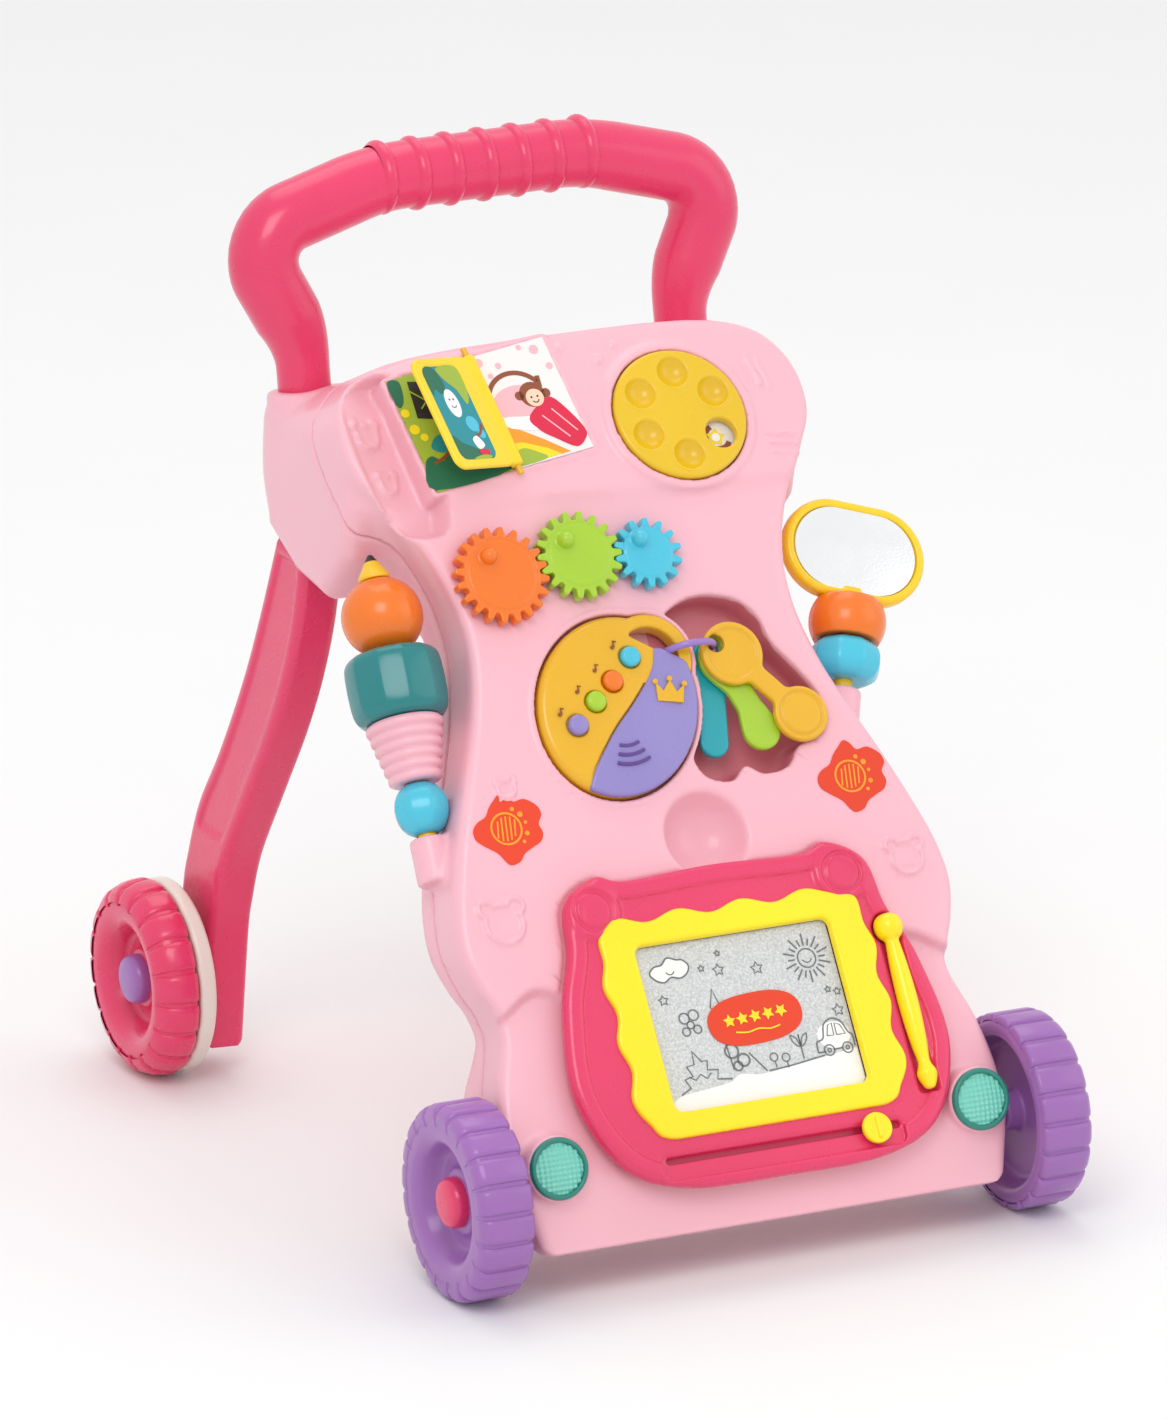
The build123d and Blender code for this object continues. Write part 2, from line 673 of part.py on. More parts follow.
def mirror_frame():
    outline = SlotOverall(MIRROR_W, MIRROR_HT)
    body = plate(outline, MIRROR_T, -MIRROR_T / 2)
    inner = SlotOverall(MIRROR_W - 2 * MIRROR_RIM, MIRROR_HT - 2 * MIRROR_RIM)
    body -= plate(inner, 9, MIRROR_T / 2 - 2)
    body -= Pos(0, -MIRROR_HT / 2 - 1, 0) * Rot(-90, 0, 0) * rod(SPIGOT_R + RUN_CLEAR, SPIGOT_L + 1.5)
    return mirror_centre() * body


def mirror_glass():
    gap = 2 * MIRROR_RIM + 0.4
    return mirror_centre() * plate(SlotOverall(MIRROR_W - gap, MIRROR_HT - gap), 1.4, MIRROR_T / 2 - 2)


# ---- handle -------------------------------------------------------------------------------------
def handle_place():
    """Frame of the handle's loop: x to the right, y up the lean, on the head's top."""
    y, z = add(HEAD_TOP, slope_step(-25.0, (HEAD_DEPTH - 13.3) / cos(radians(25.0))))
    lean = radians(HANDLE_LEAN)
    return Plane(origin=(0, y, z), x_dir=(1, 0, 0), z_dir=(0, -cos(lean), sin(lean))).location


HANDLE_TAIL = 30.0            # length of each foot inside its socket


def handle_path():
    x, top = HANDLE_X, HANDLE_RISE
    right = [(x, -HANDLE_TAIL), (x, 24), (x + HANDLE_SPREAD, top - 20), (x - 46, top)]
    left = [(-px, py) for px, py in right[::-1]]
    return FilletPolyline(*right, *left, radius=[55, 22, 120, 120, 22, 55])


def handle():
    path = handle_path()
    section = Plane(origin=path @ 0, z_dir=path % 0) * Circle(HANDLE_R)
    tube = sweep(section, path=path)
    rise = Pos(0, HANDLE_RISE, 0) * Rot(0, 90, 0)
    tube += rise * Cylinder(GRIP_R - 0.8, RIB_PITCH * GRIP_RIBS)
    for i in range(GRIP_RIBS):
        tube += Pos((i - (GRIP_RIBS - 1) / 2) * RIB_PITCH, 0, 0) * rise * Cylinder(GRIP_R + 0.8, 4)
    return handle_place() * tube


def handle_sockets():
    """Round collars at the head's back corners, with the bore that holds each foot."""
    collars = []
    for side in (-1, 1):
        tube = Rot(90, 0, 0) * Cylinder(HANDLE_R + 4, HANDLE_TAIL + 12)
        collars.append(Pos(side * HANDLE_X, 6 - (HANDLE_TAIL + 12) / 2 + 4, 0) * tube)
    return handle_place() * (collars[0] + collars[1])


def handle_bores():
    tube = Rot(90, 0, 0) * Cylinder(HANDLE_R + 0.3, HANDLE_TAIL + 40.6)
    bores = [Pos(side * HANDLE_X, 20 - HANDLE_TAIL / 2, 0) * tube for side in (-1, 1)]
    return handle_place() * (bores[0] + bores[1])


# ---- legs ---------------------------------------------------------------------------------------
LEG_SPLAY = 3.4
LEG_TOP_X = CHEEK_W / 2 - 2 - WALL - 1.2
LEG_TOP_Z = 316.0


def leg_blade(grow=0.0):
    """The right leg, standing in its splay, with its outer face at LEG_TOP_X at the top."""
    axle = (REAR_AXLE_Y, REAR_WHEEL_R)
    front = [
        (-25, -37), (-26, 22), (-29, 41), (-36, 66), (-57, 100), (-83, 140), (-98, 172), (-108, 205),
        (-112, 262),
    ]
    back = [
        (-80, 266), (-74, 240), (-61, 198), (-45, 160), (-22, 119), (-2, 86), (8, 58), (12, 40), (14, 0),
        (14, -37),
    ]
    points = [(axle[0] + y, axle[1] + z) for y, z in front + back]
    face = make_face(Polyline(*[(0, y, z) for y, z in points], close=True))
    face = offset(face, grow) if grow else face
    blade = extrude(face, amount=LEG_T + 2 * grow, dir=(1, 0, 0))
    if not grow:
        blade = chamfer(blade.edges().filter_by(Plane.YZ), 3.0)
    splay = Pos(0, 0, LEG_TOP_Z) * Rot(0, -LEG_SPLAY, 0) * Pos(0, 0, -LEG_TOP_Z)
    return Pos(LEG_TOP_X - LEG_T - grow, 0, 0) * splay * blade


def right_leg():
    return leg_blade() - rod_x(AXLE_R + 0.02, 0, REAR_TRACK, REAR_AXLE_Y, REAR_WHEEL_R)


# ---- wheels and axles ---------------------------------------------------------------------------
CAP_R = 17.0
GROOVES = 20


def wheel_blank(radius, width, dish, tread):
    """A wheel about X with its outer face at x = 0 and its inner face at x = -width, hollow inside."""
    rim = radius - 9
    outer = [
        (-width, radius - 3), (-width + 3, radius), (-5, radius), (0, radius - 6), (0, rim - 6),
        (-dish, CAP_R + 8),
        (-dish, 0), (-dish - 4, 0), (-dish - 4, rim - 8), (-width, rim),
    ]
    face = make_face(Polyline(*[(x, 0, r) for x, r in outer], close=True))
    body = revolve(face, Axis.X)
    for i in range(tread):
        groove = Pos(-width * 0.5, 0, radius) * Box(width - 11, 2.0, 2.4)
        body -= Rot(360 / tread * i, 0, 0) * groove
    hub = Rot(0, -90, 0) * rod(8, width - 2, 1)
    return body + hub


def wheel_bored(body):
    return body - rod_x(AXLE_R + RUN_CLEAR, -90, 90, 0, 0)


def front_wheel():
    body = wheel_bored(wheel_blank(FRONT_WHEEL_R, FRONT_WHEEL_W, 9.0, GROOVES))
    return Pos(FRONT_TRACK / 2, FRONT_AXLE_Y, FRONT_WHEEL_R) * (body - cap_seat())


CAP_SEAT_X = 6.0


def cap_seat():
    return rod_x(CAP_R * 0.6, -CAP_SEAT_X - 3, 20, 0, 0)


def hub_cap(reach):
    points = [(-CAP_SEAT_X - 2.9, 0), (-CAP_SEAT_X - 2.9, CAP_R * 0.6 - 0.1), (reach - 4, CAP_R * 0.6 - 0.1)]
    points += [(reach - 2, CAP_R * 0.55), (reach, CAP_R * 0.3), (reach, 0)]
    return revolve(make_face(Polyline(*[(x, 0, r) for x, r in points], close=True)), Axis.X)


def front_cap():
    return Pos(FRONT_TRACK / 2, FRONT_AXLE_Y, FRONT_WHEEL_R) * hub_cap(-1.0)


BAND_W = 9.0


def rear_tyre():
    body = wheel_bored(wheel_blank(REAR_WHEEL_R, REAR_WHEEL_W - BAND_W, 9.0, 16))
    return Pos(REAR_TRACK / 2, REAR_AXLE_Y, REAR_WHEEL_R) * (body - cap_seat())


def rear_band():
    """The pale ring that closes the wheel's inner side."""
    width = BAND_W - 0.3
    radius = REAR_WHEEL_R - 1.0
    ring = [(-width, 9), (-width, radius - 1), (-width + 1, radius), (-0.5, radius), (0, radius - 1), (0, 9)]
    body = revolve(make_face(Polyline(*[(x, 0, r) for x, r in ring], close=True)), Axis.X)
    start = REAR_TRACK / 2 - REAR_WHEEL_W + BAND_W - 0.3
    return Pos(start, REAR_AXLE_Y, REAR_WHEEL_R) * body


def rear_cap():
    return Pos(REAR_TRACK / 2, REAR_AXLE_Y, REAR_WHEEL_R) * hub_cap(-1.0)


AXLE_INSET = CAP_SEAT_X + 4.0  # axle end to the wheel's outer face


def front_axle():
    reach = FRONT_TRACK / 2 - AXLE_INSET
    return rod_x(AXLE_R, -reach, reach, FRONT_AXLE_Y, FRONT_WHEEL_R)


def rear_axles():
    inner = REAR_TRACK / 2 - REAR_WHEEL_W - LEG_GAP - LEG_T - 6
    outer = REAR_TRACK / 2 - AXLE_INSET
    return group(*[rod_x(AXLE_R, side * inner, side * outer, REAR_AXLE_Y, REAR_WHEEL_R) for side in (-1, 1)])


# ---- shells -------------------------------------------------------------------------------------
SCOOP = (9.0, 196.0, 22.0)    # finger scoop above the board: x, place up the panel, radius
SCREW_R = 1.5
SCREW_HEAD_R = 3.2
SCREWS = ((-70, 62), (70, 62), (-100, 150), (100, 150), (-72, 300), (72, 300))
BACK_H = -BODY_DEPTH * sin(radians(PANEL_SLOPE))    # outer face of the back wall, on the panel's frame
DOOR_S, DOOR_W, DOOR_L, DOOR_T = 195.0, 72.0, 56.0, 1.6
SPEAKER_S, SPEAKER_R = 62.0, 20.0


def shell_halves():
    """The hollow body, parted into its front and its back."""
    outer = body_block(0)
    hollow = outer - body_block(WALL)
    depth = SHELL_SPLIT
    front = hollow & parting_band(depth)
    back = hollow - parting_band(depth)
    return outer, front, back


def tray_shell(outline, depth):
    """The thickened block that a pocket is sunk into, flush with the shell's inside."""
    return PANEL * plate(outline, depth + WALL - 0.5, -depth - WALL)


def screw_bosses():
    """Posts in the front half that the screws from the back run into."""
    length = -BACK_H - 2 * WALL
    post = rod(SCREW_R + 2.5, length) - rod(SCREW_R + 0.02, length - 4)
    posts = [PANEL * Pos(x, s, BACK_H + WALL) * post for x, s in SCREWS]
    return sum_of(posts)


def sum_of(shapes):
    total = shapes[0]
    for shape in shapes[1:]:
        total = total + shape
    return total


def screw_holes():
    return sum_of([PANEL * Pos(x, s, BACK_H - 1) * rod(SCREW_R + 0.4, WALL + 2) for x, s in SCREWS])


def screws():
    screw = rod(SCREW_HEAD_R, 1.6, -1.6) + rod(SCREW_R, 14, 0)
    return group(*[PANEL * Pos(x, s, BACK_H) * screw for x, s in SCREWS])


def battery_door(gap=0.0, extra=0.0):
    outline = RectangleRounded(DOOR_W + 2 * gap, DOOR_L + 2 * gap, 5)
    return PANEL * Pos(0, DOOR_S, BACK_H) * plate(outline, DOOR_T + extra, -extra)


def door_hole():
    return PANEL * Pos(0, DOOR_S, BACK_H) * plate(RectangleRounded(DOOR_W - 8, DOOR_L - 8, 3), 9, -2)


def speaker():
    cone = turned([(0, 0), (SPEAKER_R, 0), (SPEAKER_R, 3), (12, 8), (12, 14), (0, 14)])
    return PANEL * Pos(0, SPEAKER_S, -WALL) * Rot(180, 0, 0) * cone


def scoop():
    x, s, r = SCOOP
    return PANEL * Pos(x, s, 6) * Sphere(r)


def front_shell(front):
    x, s, r = SCOOP
    body = front + tray_shell(tray_outline(WALL), TRAY_DEPTH)
    body += tray_shell(remote_outline(FIT_GAP + WALL), REMOTE_SINK)
    body += (PANEL * Pos(x, s, 6) * Sphere(r + WALL)) & (PANEL * plate(Rectangle(300, 900), 40, -40))
    body += disc_ring() + book_block() + lamp_pods_solid() + screw_bosses()
    body += socket(pencil_place(), SOCKET_R) + socket(mirror_place(), SOCKET_R)
    body -= scoop()
    body -= PANEL * plate(tray_outline(), 60, -TRAY_DEPTH)
    body -= PANEL * plate(remote_outline(FIT_GAP), 60, -REMOTE_SINK)
    body -= screen_place() * plate(board_outline(FIT_GAP), 30, -BOARD_SINK)
    for x, s in gear_centres():
        body -= PANEL * Pos(x, s, -20) * rod(PIN_R + 0.05, 40)
    body -= disc_place() * rod(PIN_R + 0.05, 40, -20)
    body -= rod_x(AXLE_R + 0.05, -BODY_W, BODY_W, FRONT_AXLE_Y, FRONT_WHEEL_R)
    for place in (pencil_place(), mirror_place()):
        body -= place * rod(PENCIL_R + 0.05, 300, 0.4)
    return body


def rear_shell(outer, back):
    body = back + (handle_sockets() - body_block(WALL))
    body = body - handle_bores() - screw_holes() - battery_door(FIT_GAP, 4) - door_hole()
    for leg in (leg_blade(0.4), mirrored(leg_blade(0.4))):
        body -= leg
    for place in (pencil_place(), mirror_place()):
        body -= place * rod(SOCKET_R + 0.2, 22.2, -12.2)
    body -= rod_x(AXLE_R + 0.05, -BODY_W, BODY_W, FRONT_AXLE_Y, FRONT_WHEEL_R)
    return body


def main():
    os.makedirs("parts", exist_ok=True)
    outer, front, back = shell_halves()
    pieces = {
        "front_shell": front_shell(front),
        "rear_shell": rear_shell(outer, back),
        "handle": handle(),
        "right_leg": right_leg(),
        "left_leg": mirrored(right_leg()),
        "battery_door": battery_door(),
        "screws": screws(),
        "speaker": speaker(),
        "front_axle": front_axle(),
        "rear_axles": rear_axles(),
        "board_frame": board_frame(),
        "board_bezel": board_bezel(),
        "board_screen": board_screen(),
        "eraser_knob": eraser_knob(),
        "pen": pen(),
        "lamp_rims": lamp_rims(),
        "lamp_lenses": lamp_lenses(),
        "labels": labels(),
        "book_left_page": book_page(-1),
        "book_right_page": book_page(1),
        "book_pin": book_pin(),
        "book_leaf": book_leaf(),
        "disc": disc(),
        "disc_picture": disc_picture(),
        "toy_pins": toy_pins(),
        "gear_large": gear(0),
        "gear_medium": gear(1),
        "gear_small": gear(2),
        "remote_base": remote_base(),
        "remote_cover": remote_cover(),
        "key_ring": key_ring(),
        "yellow_key": yellow_key(),
        "green_key": green_key(),
        "teal_key": teal_key(),
        "pencil_rod": pencil_rod(),
        "pencil_tip": pencil_tip(),
        "pencil_ball": pencil_ball(),
        "pencil_barrel": pencil_barrel(),
        "pencil_cone": pencil_cone(),
        "pencil_bead": pencil_bead(),
        "mirror_post": mirror_post(),
        "mirror_frame": mirror_frame(),
        "mirror_glass": mirror_glass(),
        "mirror_ball": mirror_ball(),
        "mirror_disc_bead": mirror_disc_bead(),
        "front_right_wheel": front_wheel(),
        "front_left_wheel": mirrored(front_wheel()),
        "front_right_cap": front_cap(),
        "front_left_cap": mirrored(front_cap()),
        "rear_right_tyre": rear_tyre(),
        "rear_left_tyre": mirrored(rear_tyre()),
        "rear_right_band": rear_band(),
        "rear_left_band": mirrored(rear_band()),
        "rear_right_cap": rear_cap(),
        "rear_left_cap": mirrored(rear_cap()),
    }
    for index, colour in enumerate(BUTTON_COLOURS):
        pieces[f"{colour}_button"] = remote_button(index)
    for name, shape in pieces.items():
        export_step(shape, f"parts/{name}.step")


main()
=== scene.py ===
import math

import bpy
import numpy as np
import openvdb
from mathutils import Matrix, Vector


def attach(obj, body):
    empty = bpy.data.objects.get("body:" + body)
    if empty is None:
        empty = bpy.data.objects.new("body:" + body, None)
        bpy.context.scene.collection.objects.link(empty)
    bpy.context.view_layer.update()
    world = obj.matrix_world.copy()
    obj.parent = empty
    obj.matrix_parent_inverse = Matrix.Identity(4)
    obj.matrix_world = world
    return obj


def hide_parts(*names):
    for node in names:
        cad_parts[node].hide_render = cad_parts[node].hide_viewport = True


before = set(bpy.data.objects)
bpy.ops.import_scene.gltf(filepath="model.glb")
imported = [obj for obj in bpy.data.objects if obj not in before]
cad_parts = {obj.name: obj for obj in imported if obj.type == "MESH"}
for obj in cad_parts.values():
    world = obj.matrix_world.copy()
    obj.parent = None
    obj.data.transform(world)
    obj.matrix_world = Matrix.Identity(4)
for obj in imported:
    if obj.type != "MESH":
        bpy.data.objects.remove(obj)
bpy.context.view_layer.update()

# Lengths are in millimetres in local frames; every mesh is placed in metres in the row frame.
# Local frames on the front: x to the right, y up the slope, z out of the surface.
RAD = math.pi / 180
MM = Matrix.Diagonal((0.001, 0.001, 0.001, 1))
METRES = Matrix.Diagonal((1000, 1000, 1000, 1))      # undoes MM for an item that is repeated


# ---- frames -------------------------------------------------------------------------------------
def slope_frame(y, z, angle):
    c, s = math.cos(angle * RAD), math.sin(angle * RAD)
    return Matrix(((1, 0, 0, 0), (0, c, -s, y), (0, s, c, z), (0, 0, 0, 1)))


def shift(x=0.0, y=0.0, z=0.0):
    return Matrix.Translation((x, y, z))


def turn(angle, axis):
    return Matrix.Rotation(angle * RAD, 4, axis)


def turned(x, y, angle):
    """A place as it reads on axes turned by the angle."""
    c, s = math.cos(angle * RAD), math.sin(angle * RAD)
    return x * c + y * s, y * c - x * s


SLOPE = 55.7                       # of the panel, in degrees from the floor
LAMP_SLOPE = 71.0
HEAD_TIP = 6.7                     # the head leans this much further back than the panel
FOOT = (-223.495, 22.940)          # (y, z) of the panel's lower edge
CREASE = 362.0                     # from there to the head
BOARD_AT, BOOK_AT, DISC_AT = (4.5, 105.0), (-44.0, 52.0), (51.0, 38.0)
BOOK_TURN = 8
LAMP_AT = (110.0, 49.0)
PANEL = slope_frame(*FOOT, SLOPE)
HEAD = slope_frame(-19.499, 321.988, 49.0)
BOARD = PANEL @ shift(*BOARD_AT)
DISC = HEAD @ shift(*DISC_AT)
BOOK = HEAD @ shift(*BOOK_AT) @ turn(BOOK_TURN, "Z")
PENCIL = PANEL @ shift(-121.5, 211.0, -22.0) @ turn(-90, "X") @ turn(3, "Y")
MIRROR = PANEL @ shift(104.0, 252.0, -20.0) @ turn(-90, "X") @ turn(19.7, "Y")


def lamp_frame(side):
    x, up = LAMP_AT
    y, z = FOOT[0] + up * math.cos(SLOPE * RAD), FOOT[1] + up * math.sin(SLOPE * RAD)
    return shift(side * x) @ slope_frame(y, z, LAMP_SLOPE)


# ---- materials ----------------------------------------------------------------------------------
def srgb(code):
    rgb = [int(code[i:i + 2], 16) / 255 for i in (0, 2, 4)]
    return [c / 12.92 if c <= 0.04045 else ((c + 0.055) / 1.055) ** 2.4 for c in rgb]


def link(tree, a, b):
    tree.links.new(a, b)


def noise(tree, scale, detail=3.0):
    node = tree.nodes.new("ShaderNodeTexNoise")
    node.inputs["Scale"].default_value = scale
    node.inputs["Detail"].default_value = detail
    link(tree, tree.nodes["Place"].outputs["Object"], node.inputs["Vector"])
    return node


def spread(tree, source, low, high):
    node = tree.nodes.new("ShaderNodeMapRange")
    node.inputs["From Min"].default_value = 0.3
    node.inputs["From Max"].default_value = 0.7
    node.inputs["To Min"].default_value = low
    node.inputs["To Max"].default_value = high
    link(tree, source, node.inputs["Value"])
    return node.outputs["Result"]


def finish_mat(name, slot, colour, rough=0.28, grain=0.04, deep=0.05, fine=900.0, metal=0.0, coat=0.25,
               scatter=0.06,
               broad=9.0):
    """A moulded finish: broad, faint changes of tint, uneven gloss and a very fine skin."""
    mat = bpy.data.materials.new(name)
    mat.use_nodes = True
    tree = mat.node_tree
    shader = tree.nodes["Principled BSDF"]
    place = tree.nodes.new("ShaderNodeTexCoord")
    place.name = "Place"
    tone = srgb(colour)
    mix = tree.nodes.new("ShaderNodeMix")
    mix.data_type = "RGBA"
    mix.inputs["A"].default_value = [*[c * (1 - deep) for c in tone], 1]
    mix.inputs["B"].default_value = [*[min(1.0, c * (1 + deep)) for c in tone], 1]
    link(tree, spread(tree, noise(tree, broad).outputs["Fac"], 0.0, 1.0), mix.inputs["Factor"])
    link(tree, mix.outputs["Result"], shader.inputs["Base Color"])
    link(tree, spread(tree, noise(tree, 60.0, 4.0).outputs["Fac"], rough - grain, rough + grain),
         shader.inputs["Roughness"])
    bump = tree.nodes.new("ShaderNodeBump")
    bump.inputs["Strength"].default_value = 0.05
    bump.inputs["Distance"].default_value = 0.0002
    link(tree, noise(tree, fine, 2.0).outputs["Fac"], bump.inputs["Height"])
    link(tree, bump.outputs["Normal"], shader.inputs["Normal"])
    shader.inputs["Metallic"].default_value = metal
    shader.inputs["Coat Weight"].default_value = coat
    shader.inputs["Coat Roughness"].default_value = 0.12
    if scatter:
        shader.inputs["Subsurface Weight"].default_value = scatter
        shader.inputs["Subsurface Radius"].default_value = (0.004, 0.002, 0.0015)
        shader.inputs["Subsurface Scale"].default_value = 0.6
    mat["slot"] = slot
    return mat


def print_mat(name, slot, colour, rough=0.42):
    """A printed finish: dull, with no clear coat."""
    return finish_mat(name, slot, colour, rough, coat=0.0, scatter=0.0)


FINISH = {
    "light_pink": finish_mat("Light_pink_plastic", "light_pink", "F0B4C1", 0.36, deep=0.025),
    "dark_pink": finish_mat("Dark_pink_plastic", "dark_pink", "E03464", 0.28),
    "purple": finish_mat("Purple_plastic", "purple", "9B66AF", 0.32),
    "ring_purple": finish_mat("Ring_purple_plastic", "purple", "9A78C4", 0.25),
    "disc_yellow": finish_mat("Disc_yellow_plastic", "disc_yellow", "E3BA10", 0.28),
    "yellow": finish_mat("Warm_yellow_plastic", "yellow", "E4AE16", 0.28),
    "bright_yellow": finish_mat("Bright_yellow_plastic", "bright_yellow", "FFE200", 0.28),
    "orange": finish_mat("Orange_plastic", "orange", "EC7414", 0.26),
    "green": finish_mat("Green_plastic", "green", "A4CB2C", 0.26),
    "light_blue": finish_mat("Light_blue_plastic", "light_blue", "45BED8", 0.26),
    "teal": finish_mat("Teal_plastic", "teal", "0D7C7E", 0.24),
    "key_teal": finish_mat("Key_teal_plastic", "teal", "12A0AC", 0.24),
    "dark_teal": finish_mat("Dark_teal_plastic", "dark_teal", "1F7F72", 0.3),
    "mint": finish_mat("Mint_lens_plastic", "mint", "74CDBC", 0.2, coat=0.5),
    "lilac": finish_mat("Lilac_plastic", "lilac", "8F82C2", 0.28),
    "red": print_mat("Red_print", "red", "E23C14"),
    "print_orange": print_mat("Orange_print", "orange", "F59A1E"),
    "print_yellow": print_mat("Yellow_print", "bright_yellow", "F2D91E"),
    "print_green": print_mat("Green_print", "page_green", "9DB53A"),
    "print_dark_green": print_mat("Dark_green_print", "page_green", "1C6B50"),
    "print_teal": print_mat("Teal_print", "teal", "148C96"),
    "print_black": print_mat("Black_print", "black", "20242C"),
    "print_red": print_mat("Blanket_red_print", "page_red", "D81B44"),
    "print_white": print_mat("White_print", "paper", "F4F2F0"),
    "print_pink": print_mat("Pink_print", "light_pink", "F3B4BC"),
    "print_brown": print_mat("Brown_print", "pencil_wood", "8E4A2C"),
    "print_skin": print_mat("Skin_print", "paper", "F6CDB2"),
    "print_grey": print_mat("Grey_line_print", "black", "6B6E70", 0.5),
    "paper": finish_mat("Page_paper", "paper", "E9E6E4", 0.4, coat=0.15, scatter=0.0),
    "wood": finish_mat("Pencil_wood_plastic", "pencil_wood", "F2C31C", 0.35),
    "warm_white": finish_mat("Warm_white_plastic", "warm_white", "E4DAD0", 0.32),
    "screen": finish_mat("Screen_sheet", "screen", "CBCDCD", 0.34, deep=0.22, coat=0.2, scatter=0.0,
                         broad=900.0),
    "steel": finish_mat("Steel", "steel", "B9BBBE", 0.3, metal=1.0, coat=0.0, scatter=0.0),
    "black": finish_mat("Black_plastic", "black", "1C1C1E", 0.35, scatter=0.0),
    "mirror": finish_mat("Mirror_plate", "mirror", "FAFBFC", 0.08, 0.02, deep=0.01, metal=1.0, coat=0.0,
                         scatter=0.0),
    # Darker salmon pink for the key tray's inside: painted shade, since the tray is the same pink plastic as
    # the body.
    "tray_painted_shade": finish_mat("Key_tray_painted_shade", "light_pink", "E0818F", 0.42, deep=0.06),
    # Deeper pink for the floor of the board's narrow slit: painted shade in the slot, not a different
    # plastic.
    "shade_pink": finish_mat("Deep_pink_painted_slit_shade", "dark_pink", "B31F4C", 0.4, scatter=0.0),
    "shade_purple": print_mat("Speaker_slot_shade", "purple", "5B3F8C", 0.4),
    "yellow_leaf": finish_mat("Leaf_yellow_plastic", "yellow", "F4D21A", 0.3),
    "bright_warm": finish_mat("Mirror_yellow_plastic", "yellow", "F3CB12", 0.28),
}


# ---- sampled solids -----------------------------------------------------------------------------
def spacing(full):
    return full


class Block:
    """A box of sample points in a local frame. Shapes are distances from their surface, negative inside."""

    def __init__(self, low, high, step):
        self.low, self.step = np.array(low, float), step
        axes = []
        for i in range(3):
            count = int(math.ceil((high[i] - low[i]) / step)) + 1
            line = (low[i] + step * np.arange(count)).astype(np.float32)
            axes.append(line.reshape([-1 if j == i else 1 for j in range(3)]))
        self.x, self.y, self.z = axes

    def full(self, value):
        shape = (self.x.size, self.y.size, self.z.size)
        return np.broadcast_to(value, shape).astype(np.float32)


def both(a, b, r=0.0):
    """Where both shapes are, with the edge between them rounded."""
    if not r:
        return np.maximum(a, b)
    u, v = np.maximum(a + r, 0), np.maximum(b + r, 0)
    return np.minimum(np.maximum(a, b) + r, 0) + np.sqrt(u * u + v * v) - r


def join(a, b, r=0.0):
    """Either shape, with the corner between them filled."""
    return -both(-a, -b, r) if r else np.minimum(a, b)


def cut(a, b, r=0.0):
    return both(a, -b, r)


def between(z, low, high):
    return np.abs(z - (low + high) / 2) - (high - low) / 2


def slab(flat, z, low, high, r=0.0):
    return both(flat, between(z, low, high), r)


def circle2(x, y, cx, cy, r):
    return np.sqrt((x - cx) ** 2 + (y - cy) ** 2) - r


def box2(x, y, cx, cy, w, h, r=0.0, angle=0.0):
    u, v = turned(x - cx, y - cy, angle)
    u, v = np.abs(u) - w / 2 + r, np.abs(v) - h / 2 + r
    return np.sqrt(np.maximum(u, 0) ** 2 + np.maximum(v, 0) ** 2) + np.minimum(np.maximum(u, v), 0) - r


def bar2(x, y, a, b, r):
    """A line from a to b, thickened by r."""
    dx, dy = b[0] - a[0], b[1] - a[1]
    t = np.clip(((x - a[0]) * dx + (y - a[1]) * dy) / (dx * dx + dy * dy), 0, 1)
    return np.sqrt((x - a[0] - t * dx) ** 2 + (y - a[1] - t * dy) ** 2) - r


def ball(block, cx, cy, cz, r):
    return np.sqrt((block.x - cx) ** 2 + (block.y - cy) ** 2 + (block.z - cz) ** 2) - r


def flat_shape(points, x, y):
    """Distance from a closed outline in a plane."""
    shape = np.broadcast(x, y).shape
    px, py = np.broadcast_to(x, shape), np.broadcast_to(y, shape)
    best, inside = np.full(shape, 1e9, np.float32), np.zeros(shape, bool)
    for (ax, ay), (bx, by) in zip(points, points[1:] + points[:1]):
        dx, dy = bx - ax, by - ay
        t = np.clip(((px - ax) * dx + (py - ay) * dy) / (dx * dx + dy * dy + 1e-12), 0, 1)
        best = np.minimum(best, (px - ax - t * dx) ** 2 + (py - ay - t * dy) ** 2)
        if ay != by:
            inside ^= ((py < ay) != (py < by)) & (px < ax + (py - ay) / (by - ay) * dx)
    return np.where(inside, -1, 1).astype(np.float32) * np.sqrt(best)


def curve(points, steps=8, closed=True):
    """A smooth line through the points."""
    n, out = len(points), []
    pick = (lambda i: points[i % n]) if closed else (lambda i: points[min(max(i, 0), n - 1)])
    for i in range(n if closed else n - 1):
        p = [np.array(pick(i + k), float) for k in (-1, 0, 1, 2)]
        for j in range(steps):
            t = j / steps
            q = 0.5 * (2 * p[1] + (p[2] - p[0]) * t + (2 * p[0] - 5 * p[1] + 4 * p[2] - p[3]) * t * t
                       + (3 * p[1] - 3 * p[2] + p[3] - p[0]) * t ** 3)
            out.append(tuple(q))
    return out if closed else out + [tuple(map(float, points[-1]))]


def both_sides(points):
    """A closed outline from its right half, listed from the foot to the top."""
    return points + [(-x, *rest) for x, *rest in points[::-1] if abs(x) > 1e-6]


def mesh_object(name, points, faces, place, mat):
    mesh = bpy.data.meshes.new(name)
    mesh.from_pydata(points, [], faces)
    mesh.transform(MM @ place)
    if place.determinant() < 0:
        mesh.flip_normals()
    mesh.validate()
    mesh.polygons.foreach_set("use_smooth", [True] * len(mesh.polygons))
    mesh.materials.append(mat)
    obj = bpy.data.objects.new(name, mesh)
    bpy.context.scene.collection.objects.link(obj)
    return obj


